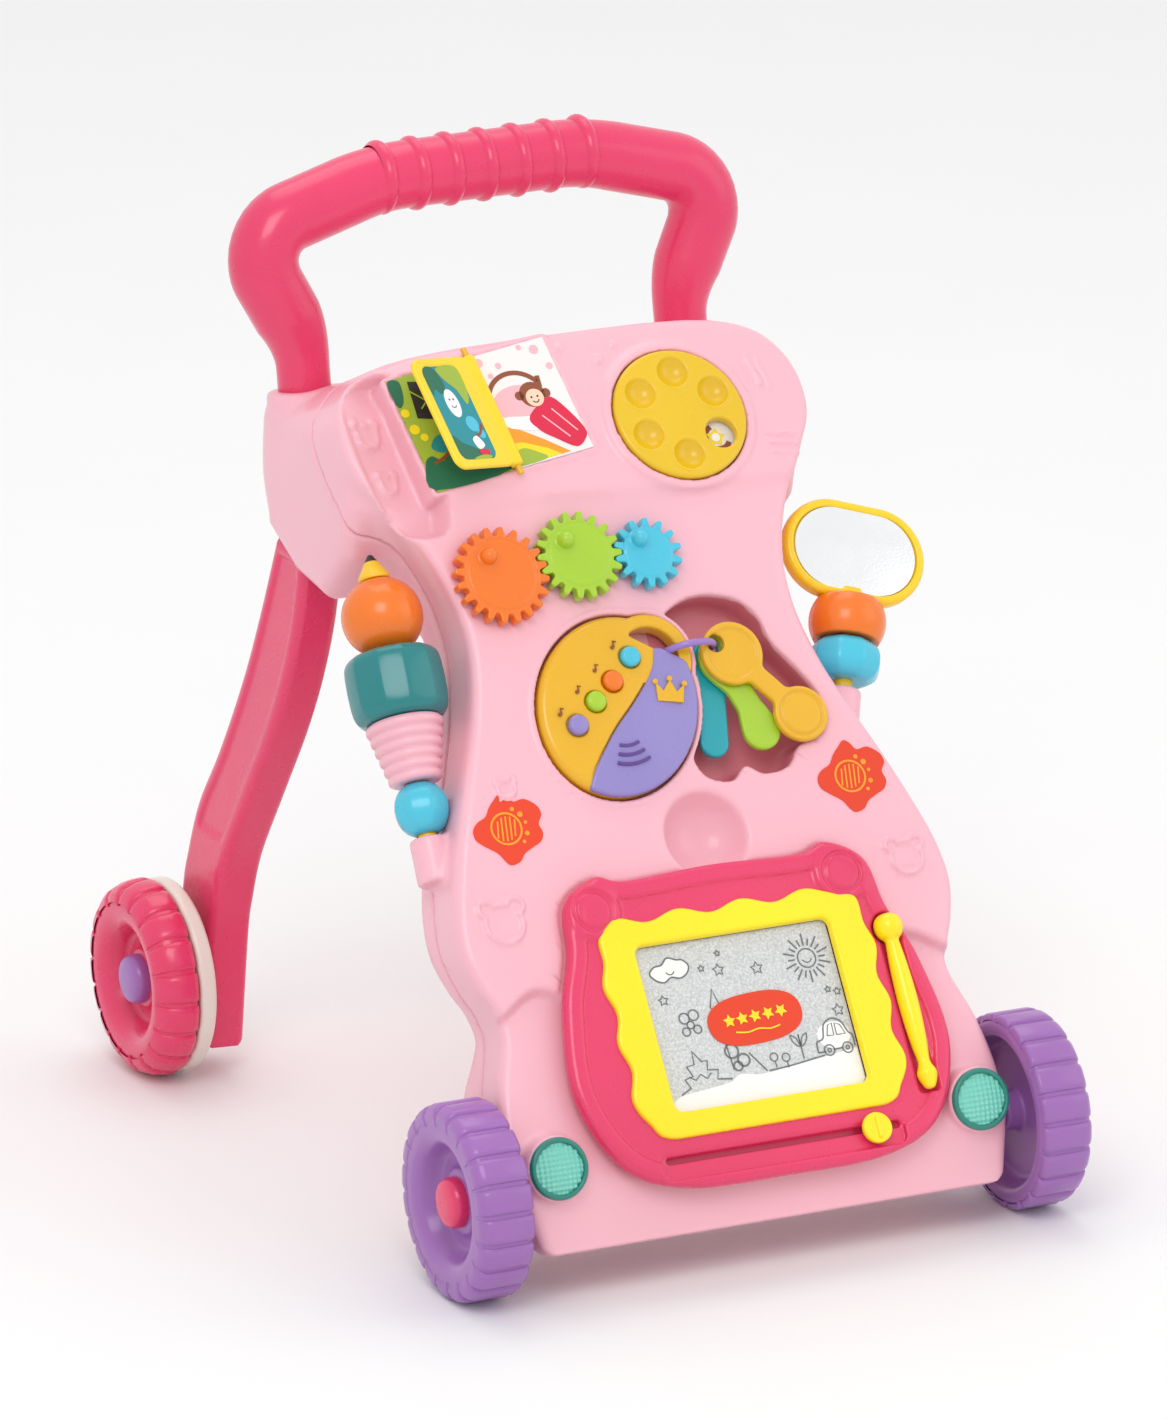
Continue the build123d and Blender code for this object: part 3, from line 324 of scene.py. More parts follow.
def skin(name, block, shape, place, mat, simplify=0.0):
    """The surface of a sampled solid as a mesh."""
    reach = 3 * block.step
    grid = openvdb.FloatGrid(reach)
    grid.copyFromArray(np.ascontiguousarray(np.clip(block.full(shape), -reach, reach)))
    if simplify:
        points, tris, quads = grid.convertToPolygons(0.0, simplify)
    else:
        points, quads = grid.convertToQuads(0.0)
        tris = np.zeros((0, 3), int)
    points = block.low + points.astype(float) * block.step
    return mesh_object(name, points.tolist(), tris.tolist() + quads.tolist(), place, mat)


def settle(obj, body, *nodes):
    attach(obj, body)
    if nodes:
        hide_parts(*nodes)
    return obj


# ---- turned and swept pieces --------------------------------------------------------------------
def lathe(name, profile, place, mat, axis="Z", steps=96):
    """A turned piece from (radius, height) points, listed from one end to the other."""
    points, faces, rings = [], [], []
    for r, h in profile:
        if r < 1e-6:
            rings.append([len(points)])
            points.append((0.0, 0.0, h))
        else:
            rings.append(list(range(len(points), len(points) + steps)))
            points += [(r * math.cos(2 * math.pi * i / steps), r * math.sin(2 * math.pi * i / steps), h)
                       for i in range(steps)]
    for low, high in zip(rings, rings[1:]):
        for i in range(steps):
            j = (i + 1) % steps
            if len(low) == 1 and len(high) > 1:
                faces.append((low[0], high[j], high[i]))
            elif len(high) == 1 and len(low) > 1:
                faces.append((low[i], low[j], high[0]))
            elif len(low) > 1:
                faces.append((low[i], low[j], high[j], high[i]))
    if axis == "X":
        place = place @ turn(90, "Y")
    return mesh_object(name, points, faces, place, mat)


def eased(profile, r=1.0, steps=4):
    """The same profile with every inner corner rounded."""
    out = [profile[0]]
    for a, b, c in zip(profile, profile[1:], profile[2:]):
        a, b, c = (Vector(p) for p in (a, b, c))
        u, v = a - b, c - b
        reach = min(r, u.length * 0.45, v.length * 0.45)
        p, q = b + u.normalized() * reach, b + v.normalized() * reach
        for i in range(steps + 1):
            t = i / steps
            out.append(tuple(p * (1 - t) ** 2 + b * 2 * t * (1 - t) + q * t * t))
    return out + [profile[-1]]


def tube(name, path, radius, place, mat, closed=False, sides=20):
    """A round bar along a path of points."""
    n = len(path)
    pts = [Vector(p) for p in path]
    points, faces = [], []
    side = None
    for i, p in enumerate(pts):
        ahead = pts[(i + 1) % n] if closed or i < n - 1 else p
        behind = pts[i - 1] if closed or i else p
        along = (ahead - behind).normalized()
        if side is None:
            side = along.orthogonal().normalized()
        side = (side - along * side.dot(along)).normalized()
        up = along.cross(side)
        r = radius(i / max(1, n - 1)) if callable(radius) else radius
        for k in range(sides):
            a = 2 * math.pi * k / sides
            points.append(tuple(p + side * r * math.cos(a) + up * r * math.sin(a)))
    last = n if closed else n - 1
    for i in range(last):
        for k in range(sides):
            a, b = i * sides, ((i + 1) % n) * sides
            m = (k + 1) % sides
            faces.append((a + k, a + m, b + m, b + k))
    if not closed:
        faces.append(tuple(reversed(range(sides))))
        faces.append(tuple(range((n - 1) * sides, n * sides)))
    return mesh_object(name, points, faces, place, mat)


# ---- printed pieces -----------------------------------------------------------------------------
def film(outlines, z=0.0, thick=0.25):
    """Thin printed shapes as (points, faces), each outline a closed list of (x, y)."""
    points, faces = [], []
    for line in outlines:
        n, start = len(line), len(points)
        area = sum(a[0] * b[1] - b[0] * a[1] for a, b in zip(line, line[1:] + line[:1]))
        ring = line if area > 0 else line[::-1]
        points += [(x, y, z) for x, y in ring] + [(x, y, z + thick) for x, y in ring]
        faces.append(tuple(reversed(range(start, start + n))))
        faces.append(tuple(range(start + n, start + 2 * n)))
        faces += [(start + i, start + (i + 1) % n, start + n + (i + 1) % n,
                   start + n + i) for i in range(n)]
    return points, faces


def stroke(path, width=0.6, closed=False):
    """A drawn line as a closed outline."""
    pts = [Vector(p) for p in path]
    if closed:
        pts = pts + [pts[0]]
    left, right = [], []
    for i, p in enumerate(pts):
        ahead = pts[min(i + 1, len(pts) - 1)]
        behind = pts[max(i - 1, 0)]
        if closed and i in (0, len(pts) - 1):
            ahead, behind = pts[1], pts[-2]
        along = (ahead - behind).normalized()
        side = Vector((-along.y, along.x)) * width / 2
        left.append(tuple(p + side))
        right.append(tuple(p - side))
    return left + right[::-1]


def prints(name, outlines, place, mat, body, z=0.0, thick=0.25):
    points, faces = film(outlines, z, thick)
    obj = mesh_object(name, points, faces, place, mat)
    obj.data.polygons.foreach_set("use_smooth", [False] * len(obj.data.polygons))
    return settle(obj, body)


def full_turn(count):
    """Evenly spaced angles round a circle."""
    return [2 * math.pi * i / count for i in range(count)]


def arc(cx, cy, r, start=0, end=360, steps=24, ry=None):
    ry = r if ry is None else ry
    closed = abs(end - start) >= 360
    n = steps if closed else steps + 1
    return [(cx + r * math.cos((start + (end - start) * i / steps) * RAD),
             cy + ry * math.sin((start + (end - start) * i / steps) * RAD)) for i in range(n)]


def star(cx, cy, r, points=5, inner=0.5, start=90):
    out = []
    for i in range(2 * points):
        reach, a = r * (inner if i % 2 else 1), (start + 180 * i / points) * RAD
        out.append((cx + reach * math.cos(a), cy + reach * math.sin(a)))
    return out


# ---- repeated pieces ----------------------------------------------------------------------------
def repeat_tree():
    """Copies of one item, each moved by a step and turned further than the one before."""
    tree = bpy.data.node_groups.new("Repeat_item", "GeometryNodeTree")
    face = tree.interface
    face.new_socket("Geometry", in_out="INPUT", socket_type="NodeSocketGeometry")
    for label, kind in (("Item", "Object"), ("Count", "Int"), ("Start", "Vector"), ("Step", "Vector"),
                        ("Turn", "Vector"),
                        ("Material", "Material")):
        face.new_socket(label, in_out="INPUT", socket_type=f"NodeSocket{kind}")
    face.new_socket("Geometry", in_out="OUTPUT", socket_type="NodeSocketGeometry")
    new = tree.nodes.new
    given, out = new("NodeGroupInput"), new("NodeGroupOutput")
    line = new("GeometryNodeMeshLine")
    line.mode = "OFFSET"
    item = new("GeometryNodeObjectInfo")
    copies = new("GeometryNodeInstanceOnPoints")
    index, angle = new("GeometryNodeInputIndex"), new("ShaderNodeVectorMath")
    angle.operation = "SCALE"
    real, coat = new("GeometryNodeRealizeInstances"), new("GeometryNodeSetMaterial")
    link(tree, given.outputs["Count"], line.inputs["Count"])
    link(tree, given.outputs["Start"], line.inputs["Start Location"])
    link(tree, given.outputs["Step"], line.inputs["Offset"])
    link(tree, given.outputs["Item"], item.inputs["Object"])
    link(tree, given.outputs["Turn"], angle.inputs[0])
    link(tree, index.outputs["Index"], angle.inputs["Scale"])
    link(tree, line.outputs["Mesh"], copies.inputs["Points"])
    link(tree, item.outputs["Geometry"], copies.inputs["Instance"])
    link(tree, angle.outputs["Vector"], copies.inputs["Rotation"])
    link(tree, copies.outputs["Instances"], real.inputs["Geometry"])
    link(tree, real.outputs["Geometry"], coat.inputs["Geometry"])
    link(tree, given.outputs["Material"], coat.inputs["Material"])
    link(tree, coat.outputs["Geometry"], out.inputs["Geometry"])
    return tree


REPEAT = repeat_tree()


def repeated(name, item, count, place, mat, start=(0, 0, 0), step=(0, 0, 0), turns=(0, 0, 0)):
    """Copies of a mesh at the local origin; step in millimetres and turns in degrees from one to the next."""
    host = bpy.data.objects.new(name, bpy.data.meshes.new(name))
    bpy.context.scene.collection.objects.link(host)
    modifier = host.modifiers.new("Repeat", "NODES")
    modifier.node_group = REPEAT
    values = {"Item": item, "Count": count, "Start": start, "Step": step, "Turn": [a * RAD for a in turns],
              "Material": mat}
    for socket in REPEAT.interface.items_tree:
        if socket.item_type == "SOCKET" and socket.in_out == "INPUT" and socket.name in values:
            modifier[socket.identifier] = values[socket.name]
    graph = bpy.context.evaluated_depsgraph_get()
    graph.update()
    mesh = bpy.data.meshes.new_from_object(host.evaluated_get(graph))
    host.modifiers.remove(modifier)
    mesh.transform(MM @ place)
    if place.determinant() < 0:
        mesh.flip_normals()
    mesh.materials.clear()
    mesh.materials.append(mat)
    mesh.polygons.foreach_set("use_smooth", [True] * len(mesh.polygons))
    host.data = mesh
    bpy.data.objects.remove(item)
    return host


def item_mesh(points, faces):
    """A mesh to repeat, in millimetres."""
    mesh = bpy.data.meshes.new("Item")
    mesh.from_pydata(points, [], faces)
    mesh.validate()
    obj = bpy.data.objects.new("Item", mesh)
    bpy.context.scene.collection.objects.link(obj)
    return obj


# ---- body ---------------------------------------------------------------------------------------
def to_panel(y, z):
    """A (y, z) place in the side view as (s, h) on the panel."""
    return turned(y - FOOT[0], z - FOOT[1], SLOPE)


SIDE = [(-213.0, 21.0), (-200.95, 55.98), (-19.5, 321.99), (38.24, 388.4), (112.2, 353.9), (104.2, 292.9),
        (7.0, 257.0), (-117.9, 101.4), (-123.7, 21.0)]
SHOULDER = [(30.2, 362.4), (108.2, 349.9), (104.2, 292.9), (71.2, 277.9), (38.2, 273.9), (12.2, 300.9),
            (6.2, 327.9)]
RIM = [(110, -12), (117.5, 0), (123.5, 22), (128.0, 45), (128.5, 66), (124.5, 90), (117.5, 112),
       (118.5, 126), (123.5, 138), (127.8, 156), (126.0, 176), (119.5, 198), (110.0, 224), (101.0, 246),
       (92.0, 270), (86.5, 293), (85.5, 312), (88.5, 332), (97.0, 354), (110.0, 376), (119.0, 392),
       (121.0, 408), (117.0, 424), (106.0, 437), (86.0, 445), (50.0, 449.5), (0, 451)]
TRAY = [(15, 303), (28, 310), (41, 311), (56, 306), (64, 296), (67, 284), (75, 272), (83, 258), (85, 246),
        (79, 236), (68, 232), (60, 223), (47, 221), (38, 226), (30, 220), (18, 223), (13, 233), (14, 251),
        (8, 276), (7, 292)]


def step_up(value, width):
    """0 to 1 as the value crosses zero, over the given width."""
    t = np.clip(value / width + 0.5, 0, 1)
    return t * t * (3 - 2 * t)


def mound(flat, height, edge):
    """A raised mark with soft edges."""
    return height * step_up(-flat, edge)


def bear(x, y, cx, cy, r):
    d = circle2(x, y, cx, cy, r)
    for side in (-1, 1):
        d = join(d, circle2(x, y, cx + side * r * 0.8, cy + r * 0.85, r * 0.42))
    return d


def relief(x, s):
    """Height of the marks on the front surface."""
    v, h = s - CREASE, 0
    h = h + 2.8 * step_up(v - 6 + 5 * np.sin((x + 20) / 62), 9)
    bowl = flat_shape(curve([(-117, 70), (-118, 44), (-113, 17), (-103, 0), (-91, -5), (-78, 2), (-76, 40),
                             (-84, 76), (-102, 82)]), x, v)
    h = h - (5.0 + 11.0 * np.clip((x + 116) / 26, 0, 1)) * step_up(-bowl - 3, 7)
    for cx, cy, r in ((-104, 52, 7.0), (-100, 27, 5.5)):
        h = h + mound(bear(x, v, cx, cy, r), 2.4, 1.8) - mound(bear(x, v, cx, cy, r - 2.2), 1.2, 1.4)
    for cx, cy, r in ((2, 81, 2.6), (20, 73, 2.6), (30, 79, 1.8), (-4, 66, 1.6)):
        h = h + mound(circle2(x, v, cx, cy, r), 1.4, 1.4)
    for k in range(2):
        line = bar2(x, v, (95 + 4.5 * k, 64 - 3 * k), (98 + 4.5 * k, 49 - 3 * k), 1.1)
        h = h + mound(line, 1.4, 1.2)
    for k in range(3):
        line = bar2(x, v, (93, 24 - 5 * k), (107, 21.5 - 5 * k), 0.9)
        h = h + mound(line, 1.3, 1.2)
    for cx, cy, r in ((-104, 168, 9.5), (107, 170, 8.0), (-86, 232, 4.5)):
        h = h + mound(np.abs(bear(x, s, cx, cy, r)) - 1.0, 1.6, 1.4)
        h = h + mound(bar2(x, s, (cx - 3, cy - 3), (cx + 3, cy - 3), 0.6), 0.8, 1.2)
    h = h - 5.0 * step_up(-(s - 120 - 14 * np.exp(-((np.abs(x) - 96) / 18) ** 2)), 6)
    return h


def body_shape(b):
    """The whole outside of the body, before its front is parted from its back."""
    s, h = b.y, b.z
    side = flat_shape([to_panel(*p) for p in SIDE], s, h)
    crest = flat_shape([to_panel(*p) for p in SHOULDER], s, h)
    rim = both_sides(curve(RIM, 6, closed=False))
    line = (b.low[1] - 45 + b.step * np.arange(b.y.size + int(60 / b.step))).astype(np.float32)
    front = flat_shape(rim, b.x[:, :, 0], line.reshape(1, -1))
    place = (s + 0.2549 * np.minimum(h, 0) - line[0]) / b.step
    low = np.clip(np.floor(place).astype(int), 0, line.size - 2)
    part = (place - low).astype(np.float32)
    flank = front[:, low[0]] * (1 - part) + front[:, low[0] + 1] * part
    raised = relief(b.x[:, :, 0], s[:, :, 0])[:, :, None]
    raised = raised * step_up(h + 16 + 0.12 * np.maximum(s - CREASE, 0), 16)
    shape = both(side - raised, flank + 0.05 * np.maximum(-h - 10, 0), 5.5)
    wings = both(crest, np.abs(b.x) - 119.5, 9.0)
    return join(shape, wings, 10.0)


def head_view(b):
    """The sample points in the head's own frame."""
    return turned(b.y - CREASE, b.z, -HEAD_TIP)


REMOTE_AT, REMOTE_TURN = (-20, 263), 60
REMOTE_LOOP = (2, 284)             # middle of the loop that holds the key ring
GEAR_SEATS = ((-63, 333, 24.6), (-21.43, 337.37, 22.4), (13.6, 333.7, 17.9))


def remote_oval(x, s, long, wide, mean):
    """A slanted oval round the remote's middle, given by its half lengths."""
    u, w = turned(x - REMOTE_AT[0], s - REMOTE_AT[1], REMOTE_TURN)
    return (np.sqrt((u / long) ** 2 + (w / wide) ** 2) - 1) * mean


def front_pockets(b, shape):
    x, s, h = b.x, b.y, b.z
    flat_x, flat_s = x[:, :, 0], s[:, :, 0]
    v, out = head_view(b)
    bx, bv = turned(x - BOOK_AT[0], v - BOOK_AT[1], BOOK_TURN)
    block = both(box2(bx, bv, 0, 0, 91, 64, 2.0), between(out, -20, 4.2), 1.6)
    shape = join(shape, block, 3.0)
    shape = cut(shape, both(box2(bx, bv, 0, 0, 87.6, 60.8, 1.0), between(out, 3.0, 20), 0), 0.5)
    ring = circle2(x, v, *DISC_AT, 38.2)
    shape = join(shape, both(ring, between(out, -12, 5.2), 2.0), 3.5)
    shape = cut(shape, both(circle2(x, v, *DISC_AT, 34.1), between(out, 0.1, 20), 0.4), 0.8)
    tray = flat_shape(curve(TRAY, 5), flat_x, flat_s)[:, :, None]
    shape = cut(shape, both(tray, between(h, -20, 30), 5.0), 1.6)
    seat = join(remote_oval(x, s, 46.8, 40.8, 43), circle2(x, s, *REMOTE_LOOP, 22.2), 0.5)
    lip = both(seat - 2.6, between(h, -12, 0.9), 0.9)
    shape = cut(join(shape, lip, 1.5), both(seat, between(h, -8, 30), 1.5), 1.0)
    board = flat_shape(board_line(0.5), flat_x - BOARD_AT[0], flat_s - BOARD_AT[1])[:, :, None]
    shape = cut(shape, slab(board, h, -1.5, 30, 0.5), 1.0)
    shape = cut(shape, both(ball(b, 9, 196, 6, 22), -(h + 40), 0), 2.5)
    for cx, cs, r in GEAR_SEATS:
        shape = cut(shape, both(circle2(x, s, cx, cs, r), between(h, -0.2, 20), 0), 0.8)
    return shape


def add_on(b, shape, place, radius, low, high, blend, round_by):
    """A round boss in its own frame, joined to the body."""
    to_local = place.inverted() @ PANEL
    m = np.array(to_local)
    lx = m[0, 0] * b.x + m[0, 1] * b.y + m[0, 2] * b.z + m[0, 3]
    ly = m[1, 0] * b.x + m[1, 1] * b.y + m[1, 2] * b.z + m[1, 3]
    lz = m[2, 0] * b.x + m[2, 1] * b.y + m[2, 2] * b.z + m[2, 3]
    post = both(np.sqrt(lx * lx + ly * ly) - radius, between(lz, low, high), round_by)
    return join(shape, post, blend)


def board_line(grow=0.0):
    w, h = 97.5 + grow, 77.5 + grow
    right = [(0, -h), (w * 0.52, -h + 1.5), (w * 0.84, -h * 0.80), (w, -h * 0.34), (w * 0.95, h * 0.2),
             (w * 0.85, h * 0.55), (w * 0.80, h * 0.86), (w * 0.62, h), (w * 0.46, h * 0.95), (0, h * 0.97)]
    left = [(-x, y) for x, y in right[-2:0:-1]]
    return curve(right + left, 8)


def parting(b):
    """Negative in front of the surface where the two halves of the body meet."""
    line = [(-213.0, -40.0), (-213.0, 21.0), (-200.95, 55.98), (-19.5, 321.99), (38.24, 388.4),
            (77.6, 433.7)]
    points = [to_panel(y + 36, z) for y, z in line]
    points += [(points[-1][0] + 20, 300), (points[0][0] - 20, 300)]
    return flat_shape(points, b.y, b.z)


def build_body():
    step = spacing(1.25)
    b = Block((-134, -22, -126), (134, 486, 14), step)
    shape = body_shape(b)
    for side in (-1, 1):
        foot = HANDLE @ shift(side * 100.0, 0, 0) @ turn(90, "X")
        shape = add_on(b, shape, foot, 18.4, 0.0, 38.0, 5.0, 3.0)
        shape = add_on(b, shape, lamp_frame(side), 15.6, -12.0, 3.2, 4.0, 1.0)
    seam = parting(b)
    front = both(front_pockets(b, shape), seam + 0.25, 0.6)
    for place in (PENCIL, MIRROR):
        front = add_on(b, front, place, 9.0, -14.0, 8.5, 4.0, 1.5)
    pieces = [skin("Front_shell_skin", b, front, PANEL, FINISH["light_pink"], 0.02)]
    back = both(shape, -seam + 0.25, 0.6)
    pieces.append(skin("Rear_shell_skin", b, back, PANEL, FINISH["light_pink"], 0.02))
    mesh, undo = pieces[0].data, (MM @ PANEL).inverted()
    # Faces inside the key tray more than 3 mm below the front take the darker pink: painted shade in the
    # tray's hollow.
    mesh.materials.append(FINISH["tray_painted_shade"])
    for face in mesh.polygons:
        p = undo @ face.center
        if p.z < -3.0 and 7 < p.x < 88 and 216 < p.y < 314:
            face.material_index = 1
    settle(pieces[0], "root", "front_shell")
    settle(pieces[1], "root", "rear_shell")


LEAN = 9.5                         # of the handle, in degrees past upright
HANDLE_BACK = 60.7                 # from the head's top edge to the handle's feet
HANDLE = shift(0, 38.235 + HANDLE_BACK, 388.402 - HANDLE_BACK * math.tan(25 * RAD)) @ turn(90 - LEAN, "X")
RIB_PITCH = 17.7
MIRRORED = Matrix.Diagonal((-1, 1, 1, 1))
SIDES = (("right", Matrix.Identity(4)), ("left", MIRRORED))
# Middle of the outer face of each right wheel
FRONT_WHEEL, REAR_WHEEL = (159.0, -175.7, 47.0), (164.0, 174.3, 48.4)


# ---- handle and legs ----------------------------------------------------------------------------
def bent(points, radii, steps=14):
    """A path of straight runs with arcs at the corners."""
    out = [Vector((*points[0], 0))]
    for a, b, c, r in zip(points, points[1:], points[2:], radii):
        a, b, c = (Vector((*p, 0)) for p in (a, b, c))
        u, v = (a - b).normalized(), (c - b).normalized()
        half = u.angle(v) / 2
        reach = r / math.tan(half)
        centre = b + (u + v).normalized() * (r / math.sin(half))
        p, q = b + u * reach, b + v * reach
        for i in range(steps + 1):
            d = ((p - centre) * (1 - i / steps) + (q - centre) * (i / steps)).normalized()
            out.append(centre + d * r)
    return out + [Vector((*points[-1], 0))]


def bar_radius(t):
    """Slim at the feet, full at the elbows and a little slimmer along the grip."""
    reach = 1 - abs(2 * t - 1)
    swell = min(reach / 0.42, 1.0)
    settle_down = min(max((reach - 0.6) / 0.25, 0.0), 1.0)
    return 12.8 + 4.1 * swell ** 2 * (3 - 2 * swell) - 0.6 * settle_down ** 2 * (3 - 2 * settle_down)


def build_handle():
    right = [(100, -30), (100, 24), (126, 76), (54, 96)]
    path = bent(right + [(-x, y) for x, y in right[::-1]], [55, 22, 120, 120, 22, 55])
    handle = tube("Handle_bar", path, bar_radius, HANDLE, FINISH["dark_pink"], sides=40)
    settle(handle, "root", "handle")
    ring = [(15.8, -3.6), (16.4, -3.2), (17.1, -2.3), (17.8, -1.2), (18.0, 0), (17.8, 1.2), (17.1, 2.3),
            (16.4, 3.2), (15.8, 3.6)]
    rib = lathe("Item", ring, METRES @ turn(90, "Y"), FINISH["dark_pink"], steps=48)
    rib.data.materials.clear()
    ribs = repeated("Grip_ribs", rib, 7, HANDLE @ shift(0, 96.0, 0), FINISH["dark_pink"],
                    start=(-3 * RIB_PITCH, 0, 0), step=(RIB_PITCH, 0, 0))
    settle(ribs, "root")


LEG_TOP, LEG_SPLAY = (93.0, 0, 316), 3.4
LEG = shift(*LEG_TOP) @ turn(-LEG_SPLAY, "Y") @ shift(0, 0, -LEG_TOP[2])


def build_legs():
    front = [(-25, -34), (-26, 22), (-29, 41), (-37, 66), (-57, 100), (-81, 140), (-96, 172), (-106, 205),
             (-110, 240)]
    back = [(-76, 240), (-61, 198), (-45, 160), (-23, 119), (-2, 86), (8, 58), (12, 40), (13.5, 0),
            (13, -34)]
    axle_y, axle_z = REAR_WHEEL[1:]
    outline = curve([(axle_y + y, axle_z + z) for y, z in front], 5, closed=False)
    outline += curve([(axle_y + y, axle_z + z) for y, z in back], 5, closed=False)
    b = Block((-3, 56, 8), (25, 196, 300), spacing(1.1))
    blade = flat_shape(outline, b.y, b.z)
    shape = both(blade, between(b.x, 0, 22), 5.0)
    inset = both(blade + 8.0, 20.4 - b.x, 0.5)
    shape = cut(shape, both(inset, (120 - b.z) * 0.9, 6.0), 1.2)
    boss = circle2(b.y, b.z, axle_y, axle_z, 13.0)
    shape = join(shape, both(boss, between(b.x, 2, 23.4), 1.5), 2.0)
    for side, flip in SIDES:
        settle(skin(f"Leg_{side}", b, shape, flip @ LEG, FINISH["dark_pink"]), "root", f"{side}_leg")


# ---- wheels -------------------------------------------------------------------------------------
def tread_pad(section, half, steps=6):
    """A tread block: a section of (radius, height) swept through a small angle, low at both ends."""
    points, faces, n = [], [], len(section)
    for i in range(steps + 3):
        t = min(max(i - 1, 0), steps) / steps
        angle = half * (2 * t - 1) * (1.0 if 0 < i < steps + 2 else 1.12) * RAD
        drop = 1.8 if i in (0, steps + 2) else (0.5 if i in (1, steps + 1) else 0.0)
        points += [((r - drop) * math.cos(angle), (r - drop) * math.sin(angle), h) for r, h in section]
    for i in range(steps + 2):
        for k in range(n - 1):
            a, b = i * n + k, (i + 1) * n + k
            faces.append((a, b, b + 1, a + 1))
    faces.append(tuple(range(n)))
    faces.append(tuple(reversed(range((steps + 2) * n, (steps + 3) * n))))
    return item_mesh(points, faces)


def build_wheels():
    flat = eased([(0, -26.5), (9, -26.5), (9.5, -17), (33, -17), (37, -26.5), (42.5, -26.5), (45.5, -24),
                  (45.5, -4), (43, -0.6), (40, 0), (32.5, 0), (28.5, -2.2), (25.5, -9), (23.5, -11.5),
                  (17.5, -12), (15.5, -9), (13, -8.4), (0, -8.4)], 2.2)
    pad = [(44.0, -26.0), (46.2, -25.8), (47.0, -24.2), (47.0, -5.2), (46.2, -2.6), (44.4, -0.6),
           (41.4, 0.25), (38.6, 0.1)]
    cap = eased([(0, -10), (12.2, -10), (12.2, -4.5), (10.6, -1.6), (6.5, -0.4), (0, -0.1)], 1.8)
    for name, flip in SIDES:
        place = flip @ shift(*FRONT_WHEEL)
        body = f"front_{name}_wheel"
        settle(lathe(f"Front_{name}_wheel_disc", flat, place, FINISH["purple"], "X", 120), body, body)
        settle(repeated(f"Front_{name}_tread", tread_pad(pad, 7.1), 20, place @ turn(90, "Y"),
                        FINISH["purple"],
                        turns=(0, 0, 18)), body)
        settle(lathe(f"Front_{name}_hub", cap, place, FINISH["dark_pink"], "X", 64), body,
               f"front_{name}_cap")
    round_face = eased([(0, -19.8), (43, -19.8), (46.6, -18.6), (47.0, -14), (46.4, -8.5), (44.2, -3.8),
                        (40.5, -0.9), (36, 0), (31, -0.7), (27, -3.2), (24.2, -8), (22.5, -12.5), (16, -13),
                        (14.4, -9), (12, -8.6), (0, -8.6)], 2.5)
    lug = [(45.0, -19.4), (47.6, -18.8), (48.4, -16.6), (48.2, -12.4), (47.4, -8.0), (45.3, -3.4),
           (42.0, -0.6), (38.6, 0.35)]
    band = eased([(9, -8.7), (45.4, -8.7), (47.4, -7), (47.4, -1.4), (46.0, 0), (9, 0), (9, -8.7)], 1.0)
    for name, flip in SIDES:
        place = flip @ shift(*REAR_WHEEL)
        body = f"rear_{name}_wheel"
        settle(lathe(f"Rear_{name}_tyre_disc", round_face, place, FINISH["dark_pink"], "X", 120), body,
               f"rear_{name}_tyre")
        settle(repeated(f"Rear_{name}_lugs", tread_pad(lug, 8.0), 18, place @ turn(90, "Y"),
                        FINISH["dark_pink"],
                        turns=(0, 0, 20)), body)
        settle(lathe(f"Rear_{name}_band_ring", band, place @ shift(-20.3, 0, 0), FINISH["warm_white"], "X",
                     120), body,
               f"rear_{name}_band")
        settle(lathe(f"Rear_{name}_hub", cap, place, FINISH["purple"], "X", 64), body, f"rear_{name}_cap")


# ---- drawing board ------------------------------------------------------------------------------
def bezel_edge(x, y):
    """Outline of the wavy yellow frame, as a distance."""
    d = box2(x, y, 0.5, 0.5, 139, 107, 17)
    side = step_up(np.abs(x - 0.5) - np.abs(y - 0.5) - 14, 14)
    top = step_up(y, 40) * (1 - side)
    wave = 2.0 * np.cos(2 * math.pi * (x - 9) / 33.0) * top
    wave = wave + 1.7 * np.cos(2 * math.pi * (y + 4) / 27.5) * side
    return d - wave


